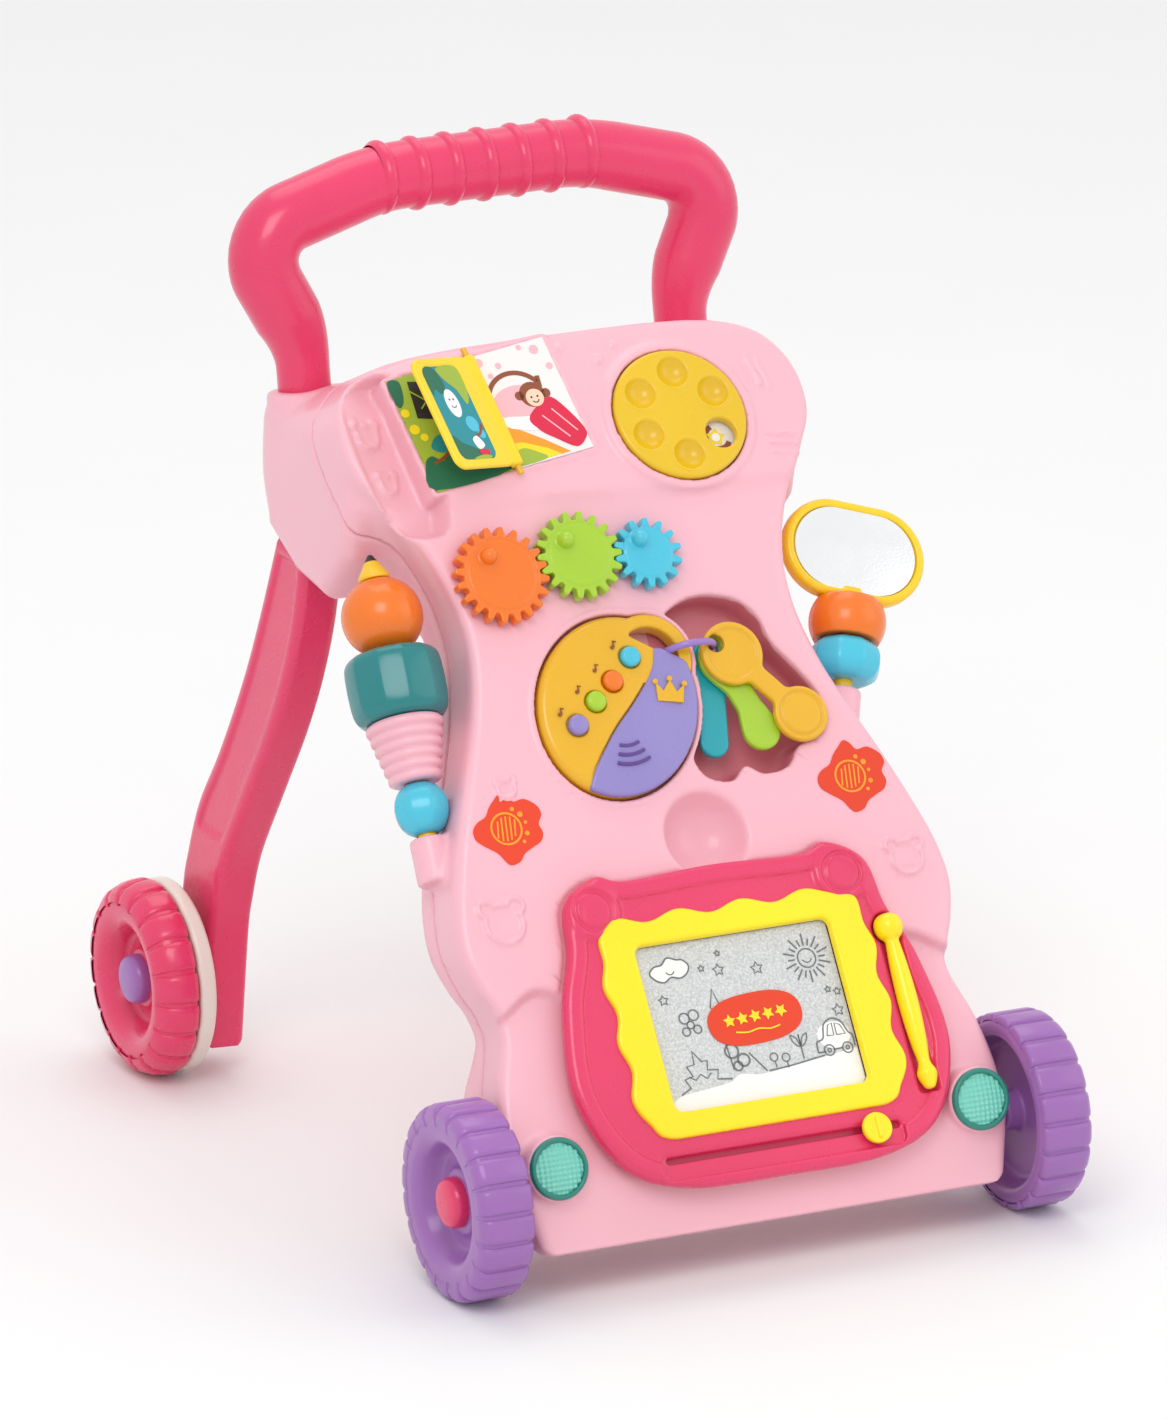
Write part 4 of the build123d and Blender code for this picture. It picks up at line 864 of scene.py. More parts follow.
def build_board():
    fine = spacing(0.75)
    b = Block((-101, -82, -3), (101, 82, 10), fine)
    x, y, z = b.x, b.y, b.z
    flat_x, flat_y = x[:, :, 0], y[:, :, 0]
    outline = flat_shape(board_line(), flat_x, flat_y)[:, :, None]
    shape = slab(outline, z, -1.5, 7.6, 4.0)
    shape = cut(shape, both(outline + 9.5, 6.0 - z, 0), 2.0)
    for cx in (-66, 64):
        ear = both(circle2(x, y, cx, 61, 14.5), z - 8.2, 3.0)
        shape = join(shape, both(ear, outline + 2.0, 2.0), 1.5)
        shape = cut(shape, both(np.abs(circle2(x, y, cx, 61, 9.5)) - 0.9, 7.2 - z, 0), 1.0)
    trough = box2(x, y, -1, -66.0, 126, 12.5, 4.0)
    shape = cut(shape, both(trough, 4.9 - z, 0.5), 1.2)
    shape = cut(shape, both(box2(x, y, 0, -62.4, 122, 3.4, 1.6), 1.6 - z, 0), 0.4)
    shape = cut(shape, both(box2(x, y, 0.5, 0, 104, 84, 3), -4 - z, 0), 0.0)
    groove = bar2(x, z, (80, 8.2), (80.01, 12), 5.6)
    shape = cut(shape, both(groove, between(y, -50, 38), 2.0), 1.0)
    shape = cut(shape, ball(b, 80, 31, 8.0, 8.2), 1.0)
    settle(skin("Board_frame_skin", b, shape, BOARD, FINISH["dark_pink"]), "drawing_board", "board_frame")
    # A thin darker pink sheet on the slit's floor: painted shade in the narrow slot.
    prints("Board_slit", [[(-60.5, -63.6), (60.5, -63.6), (60.5, -61.2), (-60.5, -61.2)]], BOARD,
           FINISH["shade_pink"], "drawing_board", 1.5)
    b = Block((-74, -58, 3), (75, 59, 10), spacing(0.65))
    edge = bezel_edge(b.x, b.y)
    shape = slab(edge, b.z, 4.2, 8.6, 1.8)
    shape = cut(shape, both(box2(b.x, b.y, 0, 0, 100.6, 80.6, 4) - 0.35 * np.maximum(b.z - 6, 0), 3 - b.z,
                            0), 1.0)
    settle(skin("Board_bezel_skin", b, shape, BOARD, FINISH["bright_yellow"]), "drawing_board",
           "board_bezel")
    dress("board_screen", "screen")
    profile = [(0, -40), (2.0, -39.5), (3.4, -37.5), (4.7, -34), (4.7, -31.5), (3.2, -28), (3.0, -25),
               (3.9, -18), (4.7, -6), (4.9, 6), (4.4, 20), (3.6, 30), (3.5, 33.4), (5.4, 35.4), (6.7, 38),
               (7.0, 40.3), (6.6, 42.8), (5.4, 44.8), (3.4, 46.2), (0, 47)]
    pen = [(r, h) for r, h in curve(profile, 4, closed=False)]
    settle(lathe("Pen_body", [(max(r, 0), h) for r, h in pen], BOARD @ shift(80, -9, 7.5) @ turn(-90, "X"),
                 FINISH["bright_yellow"],
                 steps=48), "pen", "pen")
    b = Block((-9, -9, 3), (9, 9, 13), spacing(0.35))
    knob = slab(circle2(b.x, b.y, 0, 0, 7.4), b.z, 6.8, 10.4, 1.2)
    knob = join(knob, slab(box2(b.x, b.y, 0, 0, 2.4, 11.0, 1.1), b.z, 8, 12.2, 0.9), 0.8)
    knob = join(knob, slab(circle2(b.x, b.y, 0, 0, 1.6), b.z, 4.0, 8.0, 0.2), 0.2)
    settle(skin("Eraser_knob_skin", b, knob, BOARD @ shift(47, -63.5, 0), FINISH["bright_yellow"]),
           "eraser", "eraser_knob")
    screen_art()


def screen_art():
    lines = []
    puff = [(-42, 24), (-44.5, 27.5), (-41.5, 30.5), (-37.5, 31), (-34, 34), (-29.5, 32.5), (-26.5, 32),
            (-24, 29), (-25.5, 25.5), (-29.5, 23.5), (-34, 24.5), (-38, 22.5)]
    cloud = curve(puff, 4)
    smile = arc(-34, 28, 2.2, 200, 340, 8)
    lines += [stroke(cloud, 0.7, True), stroke(smile, 0.5)]
    for cx, cy, r in ((-18, 26.5, 1.8), (-9.5, 24.5, 3.0), (-8, 32.5, 1.6), (10, 22.5, 3.2), (-41, 14, 2.6),
                      (43, 7, 1.7), (47.5, 5.5, 2.0), (45.5, -3.5, 3.0)):
        lines.append(stroke(star(cx, cy, r), 0.55, True))
    lines += [stroke(arc(36.5, 23.5, 4.6), 0.6, True), stroke(arc(36.5, 23.8, 2.4, 200, 340, 8), 0.5)]
    for i, a in enumerate(full_turn(20)):
        ends = [(36.5 + r * math.cos(a), 23.5 + r * math.sin(a)) for r in (6.2, 12.0 if i % 2 else 9.6)]
        lines.append(stroke(ends, 0.7))
    lines.append(stroke([(-14.5, -24), (-16, -4), (-19, -2), (-16.5, 6), (-18.5, 7), (-15.5, 16),
                         (-13.5, 8), (-15, 7), (-12.5, 1)], 0.6))
    for cx, cy, r in ((-33, 4, 2.6), (-28, 5, 2.6), (-30.5, 0.5, 1.8), (-33.5, -2.5, 2.0),
                      (-27.5, -2, 2.0)):
        lines.append(stroke(arc(cx, cy, r, steps=14), 0.6, True))
    tree = [(-44, -32), (-38.5, -29.5), (-40.5, -25), (-36, -24), (-38, -19), (-34, -18.5), (-33.5, -12),
            (-30, -17.5), (-27, -17.5), (-28, -22), (-22.5, -22.5), (-24, -27), (-16.5, -28)]
    lines.append(stroke(tree, 0.7))
    lines.append(stroke([(-38, -24), (-35, -26), (-32, -23.5), (-29, -26), (-26.5, -23.5)], 0.5))
    for cx, cy, r in ((-13.5, -15, 3.4), (-8.5, -20, 3.0), (-12, -22.5, 2.2)):
        lines.append(stroke(arc(cx, cy, r, steps=18), 0.8, True))
    lines.append(stroke([(-5, -17), (2, -27)], 0.6))
    for cx, cy in ((7, -21), (13, -22)):
        lines += [stroke(arc(cx, cy, 2.0, steps=12), 0.5, True),
                  stroke([(cx, cy - 2), (cx + 0.3, cy - 5)], 0.5)]
    for k in (-1, 0, 1):
        leaf = curve([(22 + 0.6 * k, -18), (22 + 3.4 * k, -15.5), (22 + 4.2 * k, -12), (22 + 1.4 * k, -14)],
                     4)
        lines.append(stroke(leaf, 0.5, True))
    lines.append(stroke([(22, -18), (22, -24)], 0.6))
    lines.append(stroke(curve([(3, -27), (14, -26.3), (28, -24.6), (33, -24)], 4, closed=False), 0.6))
    car = curve([(30, -22.5), (30.5, -17.5), (34, -16), (36, -9.5), (40.5, -7), (45, -9), (47.5, -14.5),
                 (49.3, -16.5), (49.3, -21.5)], 5,
                closed=False)
    lines += [stroke(car, 0.7), stroke([(30, -22.5), (34, -22.5)], 0.6),
              stroke([(38, -22), (43, -21.8)], 0.6),
              stroke([(36.5, -15), (38, -10), (40.2, -9.2), (40, -15.2), (36.5, -15)], 0.5),
              stroke([(41.4, -15.2), (41.6, -9.4), (44.2, -10.6), (46, -15.2), (41.4, -15.2)], 0.5)]
    for cx in (35.9, 45.4):
        lines += [stroke(arc(cx, -22, 2.6, steps=16), 0.6, True),
                  stroke(arc(cx, -22, 0.9, steps=10), 0.6, True)]
    hill = curve([(-50, -36), (-44, -32.5), (-30, -31), (-18, -29.5), (-12, -26.5), (-2, -28), (10, -27.2),
                  (28, -25.2), (50, -22.6)], 5, closed=False)
    hill += [(50, -38), (48, -40), (-48, -40), (-50, -38)]
    prints("Screen_snow", [hill, cloud, arc(40, -15, 8.5, ry=6.5)], BOARD, FINISH["print_white"],
           "drawing_board", 3.5, 0.12)
    prints("Screen_drawing", lines, BOARD, FINISH["print_grey"], "drawing_board", 3.55, 0.22)
    oval = [(24.5 * math.copysign(abs(math.cos(a)) ** 0.75, math.cos(a)),
             12.3 * math.copysign(abs(math.sin(a)) ** 0.85, math.sin(a))) for a in full_turn(60)]
    oval = [turned(x, y, -3) for x, y in oval]
    oval = [(2.5 + x, -1 + y) for x, y in oval]
    prints("Screen_badge", [oval], BOARD, FINISH["red"], "drawing_board", 3.6, 0.5)
    row = [star(-11 + 6.8 * k, -0.8 + 0.35 * k, 3.3, 5, 0.5, 90 + 8 * k) for k in range(5)]
    row.append(stroke(curve([(-9, -6.6), (-3, -7.4), (3, -6.4), (9, -7.2), (14, -6.2)], 4, closed=False),
                      0.7))
    prints("Screen_badge_stars", row, BOARD, FINISH["print_yellow"], "drawing_board", 4.1, 0.3)


# ---- remote and keys ----------------------------------------------------------------------------
SPLIT = [(4, 288), (1, 279), (-6, 270), (-15, 261), (-25, 252), (-34, 242), (-43, 230), (-50, 214)]


BUTTONS = ((-9, 285, "blue", "light_blue"), (-21, 274.5, "orange", "orange"), (-32, 266, "green", "green"),
           (-44, 256, "purple", "lilac"))


def on_crown(x, y):
    """A place on the remote's small crown, as a place on the panel."""
    u, w = turned(x, y, 12)
    return 6.0 + u, 264.5 + w


def build_remote():
    b = Block((-68, 214, -8), (30, 312, 11), spacing(0.65))
    x, s, z = b.x, b.y, b.z
    edge = remote_oval(x, s, 45.4, 39.4, 42)
    crown_top = 5.6 - 0.0012 * np.maximum(edge + 42, 0) ** 2
    body = both(both(edge, z - crown_top, 3.4), -7.7 - z, 1.0)
    around = circle2(x, s, *REMOTE_LOOP, 0)
    loop = both(both(around - 21.4, 262 - s, 3.0), between(z, -5.0, 4.6), 2.4)
    body = join(body, loop, 0.6)
    hole = both(both(around - 14.8, 238.6 - 0.574 * x - 0.819 * s, 1.6), -z - 9, 0)
    body = cut(body, hole, 1.4)
    side = flat_shape([*curve(SPLIT, 5, closed=False), (60, 200), (60, 286)], x[:, :, 0],
                      s[:, :, 0])[:, :, None]
    body = cut(body, both(both(side - 0.5, around * -1 + 14.0, 0.5), 3.6 - z, 0.2), 0.4)
    for cx, cs, _, _ in BUTTONS:
        body = cut(body, both(circle2(x, s, cx, cs, 5.5), 3.4 - z, 0), 0.5)
    settle(skin("Remote_base_skin", b, body, PANEL, FINISH["yellow"]), "remote", "remote_base")
    lid = both(side + 0.1, edge - 0.1, 1.2)
    lid = both(both(lid, z - crown_top - 1.0, 1.4), 0.4 - z, 0.3)
    lid = cut(lid, both(around - 21.6, 240.2 - 0.574 * x - 0.819 * s, 0.6), 0.8)
    settle(skin("Remote_cover_skin", b, lid, PANEL, FINISH["lilac"]), "remote", "remote_cover")
    dome = eased([(0, 2.6), (4.9, 2.6), (4.9, 7.0), (3.9, 8.0), (0, 8.4)], 0.9)
    for cx, cs, colour, mat in BUTTONS:
        button = lathe(f"Button_{colour}", dome, PANEL @ shift(cx, cs, 0), FINISH[mat], steps=40)
        settle(button, f"{colour}_button", f"{colour}_button")
    crown = [(-6.4, -4.2), (6.4, -4.2), (7.2, 4.8), (3.4, 0.8), (0, 6.4), (-3.4, 0.8), (-7.2, 4.8)]
    tips = ((-7.4, 5.2), (0, 7.2), (7.4, 5.2))
    badge = [[on_crown(*p) for p in crown]] + [arc(*on_crown(*p), 1.3, steps=12) for p in tips]
    prints("Remote_crown", badge, PANEL, FINISH["yellow"], "remote", 5.6, 1.4)
    waves = [stroke(arc(-21.5, 256, r, 250, 294, 12), 1.5) for r in (13.5, 18.0, 22.5)]
    prints("Remote_speaker_slots", waves, PANEL, FINISH["shade_purple"], "remote", 5.5, 1.3)
    notes = []
    for cx, cs in ((-16.5, 291), (-28.5, 281), (-40, 272), (-51.5, 262.5)):
        notes += [arc(cx, cs, 1.0, steps=10),
                  stroke([(cx + 0.9, cs), (cx + 0.9, cs + 3.0), (cx + 2.4, cs + 2.4)], 0.5)]
    prints("Remote_marks", notes, PANEL, FINISH["print_brown"], "remote", 4.9, 0.7)


def key_skin(name, body, node, mat, low, high, flat, carve=None):
    """A flat key between two heights; flat and carve give its outline and any sunk part."""
    b = Block((8, 224, low - 2), (90, 304, high + 2), spacing(0.6))
    shape = slab(flat(b.x, b.y), b.z, low, high, 1.3)
    if carve is not None:
        shape = cut(shape, both(carve(b.x, b.y), high - 0.9 - b.z, 0), 0.6)
    shape = cut(shape, circle2(b.x, b.y, 37, 286, 4.3), 0.8)
    settle(skin(name, b, shape, PANEL, mat), body, node)


def build_keys():
    key_skin("Key_yellow", "yellow_key", "yellow_key", FINISH["yellow"], 0.5, 4.9,
             lambda x, s: join(join(circle2(x, s, 44, 280, 15.6), circle2(x, s, 71, 246, 13.6)),
                               bar2(x, s, (44, 280), (71, 246), 5.0), 2.0),
             lambda x, s: join(circle2(x, s, 44, 280, 12.4), np.abs(circle2(x, s, 71, 246, 10.6)) - 0.7))
    key_skin("Key_green", "green_key", "green_key", FINISH["green"], -4.0, 0.1,
             lambda x, s: join(join(circle2(x, s, 41, 279, 12.5), circle2(x, s, 51, 242, 9.6)),
                               bar2(x, s, (43, 270), (49, 252), 6.6), 6.0))
    key_skin("Key_teal", "teal_key", "teal_key", FINISH["key_teal"], -8.5, -4.4,
             lambda x, s: join(circle2(x, s, 37, 279, 11.5), bar2(x, s, (33, 268), (27.5, 240.5), 7.4),
                               2.0))
    loop = [(24 + 13 * math.cos(a), 286.0, -2 + 13 * math.sin(a)) for a in full_turn(64)]
    settle(tube("Key_ring_wire", loop, 1.7, PANEL, FINISH["ring_purple"], closed=True, sides=16),
           "key_ring", "key_ring")


# ---- head toys ----------------------------------------------------------------------------------
def build_disc():
    b = Block((-36, -36, -1), (36, 36, 9), spacing(0.55))
    shape = slab(circle2(b.x, b.y, 0, 0, 33.5), b.z, 1.5, 6.8, 1.8)
    places = arc(0, 0, 21.5, -36, 324, 6)
    for cx, cy in places[1:]:
        shape = join(shape, both(circle2(b.x, b.y, cx, cy, 8.9), b.z - 7.4, 1.0), 1.0)
        shape = cut(shape, ball(b, cx, cy, 11.2, 8.9), 0.9)
    cx, cy = places[0]
    shape = cut(shape, circle2(b.x, b.y, cx, cy, 7.7), 1.2)
    settle(skin("Picture_disc_skin", b, shape, DISC, FINISH["disc_yellow"]), "picture_disc", "disc")
    dress("disc_picture", "paper")
    prints("Disc_card_ring", [stroke(arc(cx, cy, 6.0, 110, 330, 20), 2.6)], DISC, FINISH["print_brown"],
           "root", 0.9, 0.15)
    prints("Disc_card_star", [star(cx - 1, cy, 5.0, 5, 0.6, 80)], DISC, FINISH["print_yellow"], "root", 0.9,
           0.25)
    prints("Disc_card_face", [arc(cx - 1, cy, 2.2, steps=16)], DISC, FINISH["print_white"], "root", 1.15,
           0.15)


def page(x0, y0, x1, y1, r=1.0):
    corners = [(x1 - r, y1 - r, 0), (x0 + r, y1 - r, 90), (x0 + r, y0 + r, 180), (x1 - r, y0 + r, 270)]
    return [p for cx, cy, a in corners for p in arc(cx, cy, r, a, a + 90, 4)]


def build_book():
    dress("book_left_page", "print_green")
    dress("book_right_page", "paper")
    dress("book_pin", "yellow")

    def draw(name, mat, lines, lift=0.0):
        prints("Book_" + name, lines, BOOK, FINISH[mat], "root", 4.0 + lift, 0.15)

    draw("night_window", "print_black", [[(-36, 8), (-24, 4), (-22, 24), (-33, 27)]])
    draw("trees", "print_dark_green", [curve([(-43, -29), (-43, -16), (-38, -12), (-33, -16), (-28, -11),
                                              (-22, -15), (-17, -10), (-10, -14), (-2, -12), (-1, -29)], 4),
                                       curve([(-43, 29), (-43, 16), (-39, 18), (-37, 28)], 4)])
    draw("pond", "print_teal", [curve([(-36, -8), (-31, -3), (-25, -5), (-24, -10), (-31, -12)], 4)], 0.05)
    draw("branch", "print_brown", [stroke(curve([(-38, -16), (-31, -14), (-24, -9), (-16, -8)], 4,
                                                closed=False), 1.6)], 0.12)
    draw("leaves", "print_yellow", [arc(-40, 3, 2.6, steps=14), arc(-37, -2, 2.0, steps=14),
                                    arc(-41, 12, 2.2, steps=14)], 0.05)
    draw("window_bars", "print_green", [stroke([(-34, 22), (-25, 12)], 0.7),
                                        stroke([(-32, 12), (-24, 18)], 0.7)], 0.12)
    draw("wall_spots", "print_pink", [arc(x, y, r, steps=14) for x, y,
                                      r in ((6, 26, 2.2), (15, 22, 1.6), (36, 25, 2.4), (29, 28, 1.4),
                                            (9, 18, 1.4), (40, 15, 1.8))])
    draw("floor", "print_orange", [[(1, -7), (10, -11), (20, -19), (31, -29), (1, -29)]])
    draw("rug", "print_yellow", [[(1, -17), (9, -18), (20, -24), (26, -29), (1, -29)]], 0.06)
    draw("grass", "print_green", [curve([(2, -24), (8, -21), (15, -25), (18, -29), (2, -29)], 4)], 0.12)
    draw("headboard", "print_brown", [stroke(arc(17, 2, 15, 28, 172, 18), 2.4),
                                      stroke([(2, -3), (2, 7)], 2.4), stroke([(30.5, 6), (31.5, 12)], 2.4)])
    draw("pillow", "print_pink", [arc(16, 2, 12.5, ry=8.5)], 0.05)
    draw("sheet", "print_white", [curve([(6, -4), (16, -6), (24, -8), (20, -14), (12, -12), (6, -9)], 4)],
         0.1)
    draw("hair", "print_brown", [arc(25, 3.5, 6.6, steps=20), arc(18.4, 4.5, 2.4, steps=12),
                                 arc(32, 2.5, 2.4, steps=12)], 0.12)
    draw("blanket", "print_red", [curve([(18, -8), (25, -2.5), (33, 0), (38.5, -8), (43, -20), (41, -25),
                                         (35, -27.5), (27, -21), (21, -15)], 5)], 0.15)
    draw("face", "print_skin", [arc(25.5, 1.6, 4.6, steps=20)], 0.2)
    draw("eyes", "print_black", [arc(23.9, 2.2, 0.55, steps=8), arc(27.1, 2.0, 0.55, steps=8),
                                 stroke(arc(25.5, 0.8, 1.7, 200, 340, 8), 0.5)], 0.32)
    draw("blanket_folds", "print_pink", [stroke([(25, -8), (34, -22)], 0.7),
                                         stroke([(31, -6), (39, -20)], 0.7)], 0.28)
    leaf = BOOK @ shift(0, 0, 7.2) @ turn(25, "Y")
    b = Block((-46, -33, -4), (5, 33, 4), spacing(0.55))
    board = slab(box2(b.x, b.y, -22, 0, 43, 59.4, 6.5), b.z, -1.3, 1.6, 1.2)
    hinge = both(np.sqrt(b.x ** 2 + b.z ** 2) - 3.3, between(b.y, -29.6, 29.6), 1.4)
    shape = join(board, hinge, 1.2)
    shape = cut(shape, both(box2(b.x, b.y, -25.5, 0, 27, 51, 5), 1.0 - b.z, 0), 0.4)
    settle(skin("Book_leaf_skin", b, shape, leaf, FINISH["yellow_leaf"]), "book_leaf", "book_leaf")

    def put(name, mat, lines, lift=0.0):
        prints("Leaf_" + name, lines, leaf, FINISH[mat], "book_leaf", 0.98 + lift, 0.12)

    put("night", "print_teal", [page(-38.6, -25, -12.4, 25, 4)])
    put("hills", "print_dark_green", [curve([(-38, -12), (-33, -16), (-26, -19), (-18, -23), (-14, -25),
                                             (-34, -25), (-38, -22)], 4),
                                      curve([(-38, 24), (-30, 24), (-27, 15), (-31, 10), (-35, 13),
                                             (-38, 10)], 4)], 0.06)
    put("bright_hill", "print_green", [curve([(-28, 24), (-13, 24), (-13, 10), (-17, 4), (-20, 12),
                                              (-25, 17)], 4),
                                       curve([(-30, -25), (-22, -23), (-16, -24), (-20, -25.5)], 4)], 0.1)
    put("moon", "print_white", [arc(-27, 5, 4.6, ry=7.6)], 0.12)
    put("moon_face", "print_grey", [arc(-28.3, 7, 0.6, steps=8), arc(-25.6, 7, 0.6, steps=8),
                                    stroke(arc(-27, 4.4, 1.8, 200, 340, 8), 0.5)], 0.24)
    put("bush", "light_blue", [arc(-20, -6.5, 4.2), arc(-16.5, -12, 2.6)], 0.12)
    put("branch", "print_brown", [stroke(curve([(-24, -14), (-18, -12), (-13.5, -7)], 4, closed=False),
                                         1.6)], 0.16)
    put("child", "print_white", [curve([(-25, -15), (-21, -13), (-18, -18), (-23, -20)], 4)], 0.2)
    put("boots", "print_red", [page(-24, -23, -16.5, -20.2, 1.2)], 0.24)


# ---- gears --------------------------------------------------------------------------------------
TEETH = (20, 18, 14)
GEARS = (("large", "orange"), ("medium", "green"), ("small", "light_blue"))


def gear_places():
    """Centre and turn of each gear: neighbours are in mesh."""
    centre, phase, out = (-63.0, 333.0), 6.0, []
    for i, course in enumerate((6.0, -6.0, None)):
        out.append((centre, phase))
        if course is not None:
            reach = 1.1 * (TEETH[i] + TEETH[i + 1])
            centre = centre[0] + reach * math.cos(course * RAD), centre[1] + reach * math.sin(course * RAD)
            following = TEETH[i + 1]
            behind = (phase - course) * TEETH[i] / following
            phase = (course + 180 + 180 / following - behind) % (360 / following)
    return out


def build_gears():
    for (centre, phase), teeth, (name, mat) in zip(gear_places(), TEETH, GEARS):
        pitch = 1.1 * teeth
        b = Block((-pitch - 4, -pitch - 4, -1), (pitch + 4, pitch + 4, 14), spacing(0.5))
        around, reach = np.arctan2(b.y, b.x), np.sqrt(b.x ** 2 + b.y ** 2)
        wave = np.clip(1.75 * np.cos(teeth * around), -1, 1)
        edge = (reach - pitch - np.where(wave > 0, 1.9, 2.5) * wave) * 0.72
        shape = slab(edge, b.z, 0.2, 7.0, 0.8)
        shape = cut(shape, both(np.abs(reach - pitch * 0.8) - 0.5, 6.6 - b.z, 0), 0.5)
        kx, ky = -pitch * 0.2, pitch * 0.45
        knob = join(both(circle2(b.x, b.y, kx, ky, 3.8), between(b.z, 5, 10), 0.4),
                    ball(b, kx, ky, 9.6, 3.8), 0.6)
        shape = join(shape, knob, 1.2)
        place = PANEL @ shift(*centre, 0.6) @ turn(phase, "Z")
        settle(skin(f"Gear_{name}_skin", b, shape, place, FINISH[mat]), f"{name}_gear", f"gear_{name}")


# ---- beads, pencil and mirror -------------------------------------------------------------------
def faceted(obj, place, sides, depth, low, high):
    """Presses flats round a turned bead, between two heights of its own frame."""
    back = (MM @ place)
    undo = back.inverted()
    for v in obj.data.vertices:
        p = undo @ v.co
        a = math.atan2(p.y, p.x) % (2 * math.pi / sides) - math.pi / sides
        t = min(max((p.z - low) / (high - low), 0), 1)
        share = math.sin(math.pi * t) ** 0.5 if 0 < t < 1 else 0
        k = 1 - depth * share * (1 - math.cos(math.pi / sides) / math.cos(a))
        v.co = back @ Vector((p.x * k, p.y * k, p.z))
    return obj


def flat_ends(r, thick, bore=4.6, steps=20):
    """Profile of a ball with flat ends and a hole."""
    reach = math.acos(min(1.0, thick / 2 / r))
    end = math.sin(reach) * r
    out = [(bore, 0.4), (bore + 0.5, 0), (max(end - 0.6, bore + 0.6), 0)]
    for i in range(steps + 1):
        a = math.pi - reach - (math.pi - 2 * reach) * i / steps
        out.append((r * math.sin(a), thick / 2 + r * math.cos(a)))
    return out + [(max(end - 0.6, bore + 0.6), thick), (bore + 0.5, thick), (bore, thick - 0.4)]


def build_pencil():
    beads = (("bead", 10.5, 25.0, "light_blue"), ("cone", 35.8, 30.0, "light_pink"),
             ("barrel", 66.1, 34.0, "teal"), ("ball", 100.4, 35.0, "orange"))
    for name, start, long, mat in beads:
        if name == "bead":
            profile = flat_ends(13.6, long)
        elif name == "ball":
            profile = flat_ends(19.4, long)
        elif name == "cone":
            profile = [(4.6, 0), (10.8, 0)]
            for i in range(6):
                r, h = 12.4 + 6.8 * (i + 0.5) / 6, long * i / 6
                profile += [(r - 1.5, h + 0.3), (r - 0.3, h + 1.0), (r, h + 2.4), (r - 0.2, h + 3.8),
                            (r - 1.0, h + 4.6)]
            profile += [(17.6, long - 0.2), (16.6, long), (4.6, long)]
        else:
            profile = [(4.6, 0), (16.5, 0), (20.6, 1.2), (22.8, 4.4), (23.4, 9), (23.6, 17), (23.4, 25),
                       (22.8, 29.6), (20.6, 32.8), (16.5, 34), (4.6, 34)]
            profile = eased(profile, 2.0)
        place = PENCIL @ shift(0, 0, start)
        obj = lathe(f"Pencil_{name}_turned", profile, place, FINISH[mat], steps=110)
        if name == "bead":
            faceted(obj, place, 8, 0.75, 2, 23)
        if name == "barrel":
            faceted(obj, place, 11, 0.7, -6, 40)
        settle(obj, f"pencil_{name}", f"pencil_{name}")
    dress("pencil_rod", "wood")
    tip = PENCIL @ shift(0, 0, 136.0)
    wood = eased([(0, 0), (7.6, 0), (7.8, 1.6), (7.0, 3.0), (3.2, 9.4), (0, 9.4)], 0.8)
    settle(lathe("Pencil_wood", wood, tip, FINISH["wood"], steps=48), "root", "pencil_tip")
    settle(lathe("Pencil_lead", eased([(0, 9.2), (3.3, 9.2), (1.2, 12.6), (0, 13.0)], 0.5), tip,
                 FINISH["black"], steps=32), "root")


def build_mirror():
    bead = eased([(4.6, 0), (12.2, 0), (16.4, 3.4), (17.8, 7.2), (17.8, 12.8), (16.4, 16.6), (12.2, 20),
                  (4.6, 20)], 2.4)
    place = MIRROR @ shift(0, 0, 13.0)
    obj = faceted(lathe("Mirror_disc_bead_turned", bead, place, FINISH["light_blue"], steps=110), place, 9,
                  0.9, -4, 24)
    settle(obj, "mirror_disc_bead", "mirror_disc_bead")
    settle(lathe("Mirror_ball_turned", flat_ends(18.6, 20.0), MIRROR @ shift(0, 0, 33.3), FINISH["orange"],
                 steps=90), "mirror_ball", "mirror_ball")
    dress("mirror_post", "wood")
    start = 33.3 + 20.0 + 0.6
    place = MIRROR @ shift(0, 0, start + 24.5) @ turn(90, "X")
    b = Block((-39, -28, -7), (39, 28, 7), spacing(0.6))
    slot = np.sqrt(np.maximum(np.abs(b.x) - 11.5, 0) ** 2 + b.y ** 2)
    outer = slab(slot - 24.6, b.z, -4.6, 4.8, 3.0)
    outer = cut(outer, both(slot - 20.2, 2.4 - b.z, 0.3), 1.0)
    foot = both(np.sqrt(b.x ** 2 + b.z ** 2) - 6.0, between(b.y, -25.4, -18), 1.0)
    outer = join(outer, both(foot, np.abs(b.z) - 4.6, 1.0), 1.5)
    settle(skin("Mirror_frame_skin", b, outer, place, FINISH["bright_warm"]), "mirror", "mirror_frame")
    dress("mirror_glass", "mirror")


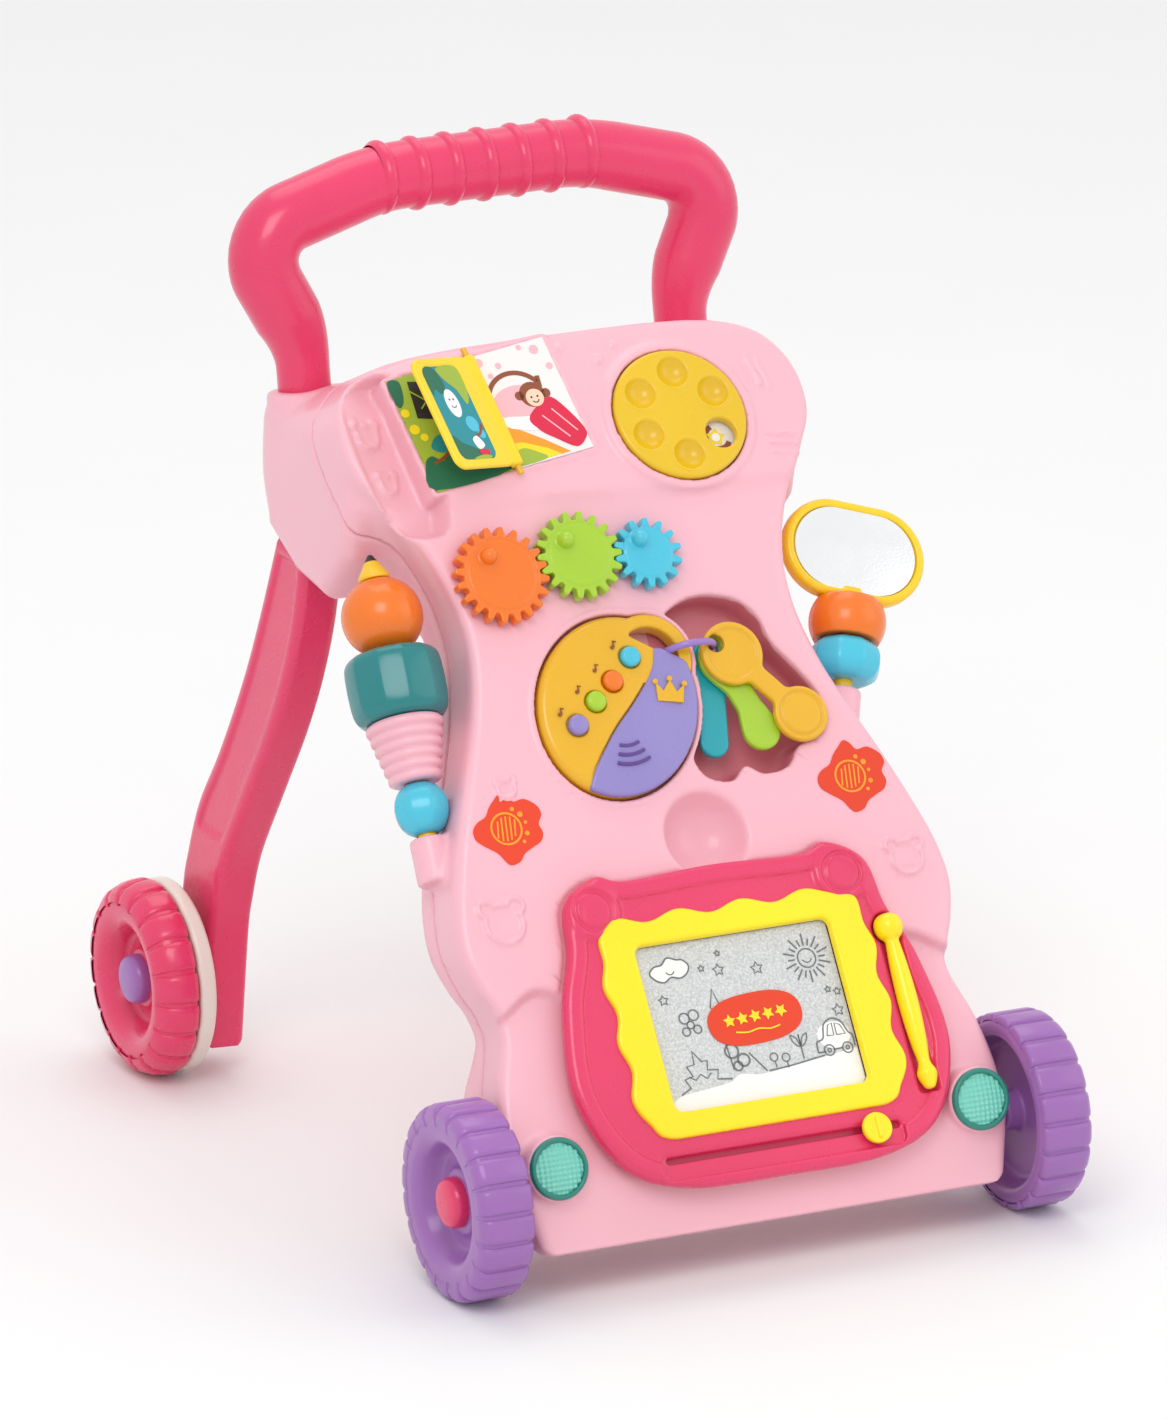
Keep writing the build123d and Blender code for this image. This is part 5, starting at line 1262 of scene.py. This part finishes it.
# ---- lamps and labels ---------------------------------------------------------------------------
def build_lamps():
    b = Block((-16, -16, 1), (16, 16, 9), spacing(0.4))
    reach = np.sqrt(b.x ** 2 + b.y ** 2)
    dome = 6.2 - 0.012 * reach ** 2
    lattice = 0.6 * np.cos((b.x + b.y) * 1.3) * np.cos((b.x - b.y) * 1.3)
    lens = both(reach - 12.4, b.z - dome - lattice, 0.5)
    lens = both(lens, 2.6 - b.z, 0)
    rim = [(12.0, 2.8), (14.6, 2.8), (14.9, 4.2), (14.2, 5.6), (12.9, 6.0), (12.1, 5.2), (12.0, 2.8)]
    points = {"rim": [], "lens": []}
    for side, name in ((-1, "left"), (1, "right")):
        place = lamp_frame(side)
        points["lens"].append(skin(f"Lamp_{name}_lens", b, lens, place, FINISH["mint"]))
        points["rim"].append(lathe(f"Lamp_{name}_rim", eased(rim, 0.5), place, FINISH["dark_teal"],
                                   steps=72))
    settle(points["lens"][0], "root", "lamp_lenses")
    settle(points["lens"][1], "root")
    settle(points["rim"][0], "root", "lamp_rims")
    settle(points["rim"][1], "root")


LABEL = [(-2.8, 15.3), (0.1, 17.8), (3, 16.2), (5.8, 12.5), (11.4, 13), (16.9, 9.2), (18.3, 4.6),
         (15.8, 0.2), (16.8, -4.3), (14.8, -8.3), (9.8, -10.7), (5.2, -13), (2, -16.5), (-2.7, -17.6),
         (-5.3, -15.3), (-8, -11.1), (-13.4, -7), (-17.3, -3.4), (-17.7, 1.2), (-14.8, 4.8), (-9.8, 7.2),
         (-6.9, 11.3)]


def build_labels():
    petals, rings = [], []
    for side in (-1, 1):
        cx, cs = side * 90.0, 213.0
        petals.append(curve([(cx + dx, cs + ds) for dx, ds in LABEL], 4))
        rings.append(stroke(arc(cx - 1, cs, 7.6, steps=40), 1.0, True))
        for k in (-2, -1, 0, 1, 2):
            half = math.sqrt(6.0 ** 2 - (2.2 * k) ** 2)
            rings.append(stroke([(cx - 1 + 2.2 * k - 0.8, cs - half), (cx - 1 + 2.2 * k + 0.8, cs + half)],
                                0.8))
        rings += [arc(cx + 10.4 * math.cos(a * RAD) - 1, cs + 10.4 * math.sin(a * RAD), r, steps=10)
                  for a, r in ((60, 1.1), (35, 1.4), (10, 0.9), (-20, 1.2), (-45, 0.9))]
    obj = prints("Labels_red", petals, PANEL, FINISH["red"], "root", 0.0, 0.5)
    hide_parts("labels")
    prints("Labels_emblem", rings, PANEL, FINISH["print_orange"], "root", 0.5, 0.2)


def dress(node, mat):
    """A finish for a CAD piece that is shown as it is."""
    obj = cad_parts[node]
    obj.data.materials.clear()
    obj.data.materials.append(FINISH[mat])
    for polygon in obj.data.polygons:
        polygon.material_index = 0


build_body()
build_handle()
build_legs()
build_wheels()
build_board()
build_remote()
build_keys()
build_disc()
build_book()
build_gears()
build_pencil()
build_mirror()
build_lamps()
build_labels()
for node, mat in (("battery_door", "light_pink"), ("screws", "steel"), ("speaker", "black"),
                  ("front_axle", "steel"), ("rear_axles", "steel"),
                  ("toy_pins", "light_pink")):
    dress(node, mat)

# ---- camera, light and floor --------------------------------------------------------------------
def look(obj, target):
    obj.rotation_euler = (Vector(target) - obj.location).to_track_quat("-Z", "Y").to_euler()


camera = bpy.data.objects.new("Camera", bpy.data.cameras.new("Camera"))
bpy.context.scene.collection.objects.link(camera)
camera.location = (-2.670, -5.4996, 2.2006)
camera.data.lens = 342.5
camera.data.sensor_width = 36.0
camera.data.clip_end = 100
look(camera, (-0.0043, -0.0077, 0.2171))
bpy.context.scene.camera = camera


def area_light(name, place, size, power):
    light = bpy.data.lights.new(name, "AREA")
    light.shape = "SQUARE"
    light.size = size
    light.energy = power
    obj = bpy.data.objects.new(name, light)
    bpy.context.scene.collection.objects.link(obj)
    obj.location = place
    look(obj, (0, 0, 0.2))


area_light("Key", (-1.1, -1.7, 2.3), 1.3, 19)
area_light("Fill", (1.9, -1.3, 1.3), 1.6, 5)
area_light("Top", (0.2, 0.9, 2.4), 1.5, 9)

world = bpy.data.worlds.new("World")
bpy.context.scene.world = world
world.use_nodes = True
world.node_tree.nodes["Background"].inputs["Color"].default_value = (1, 1, 1, 1)
world.node_tree.nodes["Background"].inputs["Strength"].default_value = 0.9
bpy.context.scene.view_settings.view_transform = "Standard"

floor_mesh = bpy.data.meshes.new("Floor")
floor_mesh.from_pydata([(-9, -9, 0), (9, -9, 0), (9, 9, 0), (-9, 9, 0)], [], [(0, 1, 2, 3)])
floor = bpy.data.objects.new("Floor", floor_mesh)
bpy.context.scene.collection.objects.link(floor)
floor_mesh.materials.append(finish_mat("Floor_paper", "", "EFEFEF", 0.7, deep=0.004, coat=0.0, scatter=0.0))
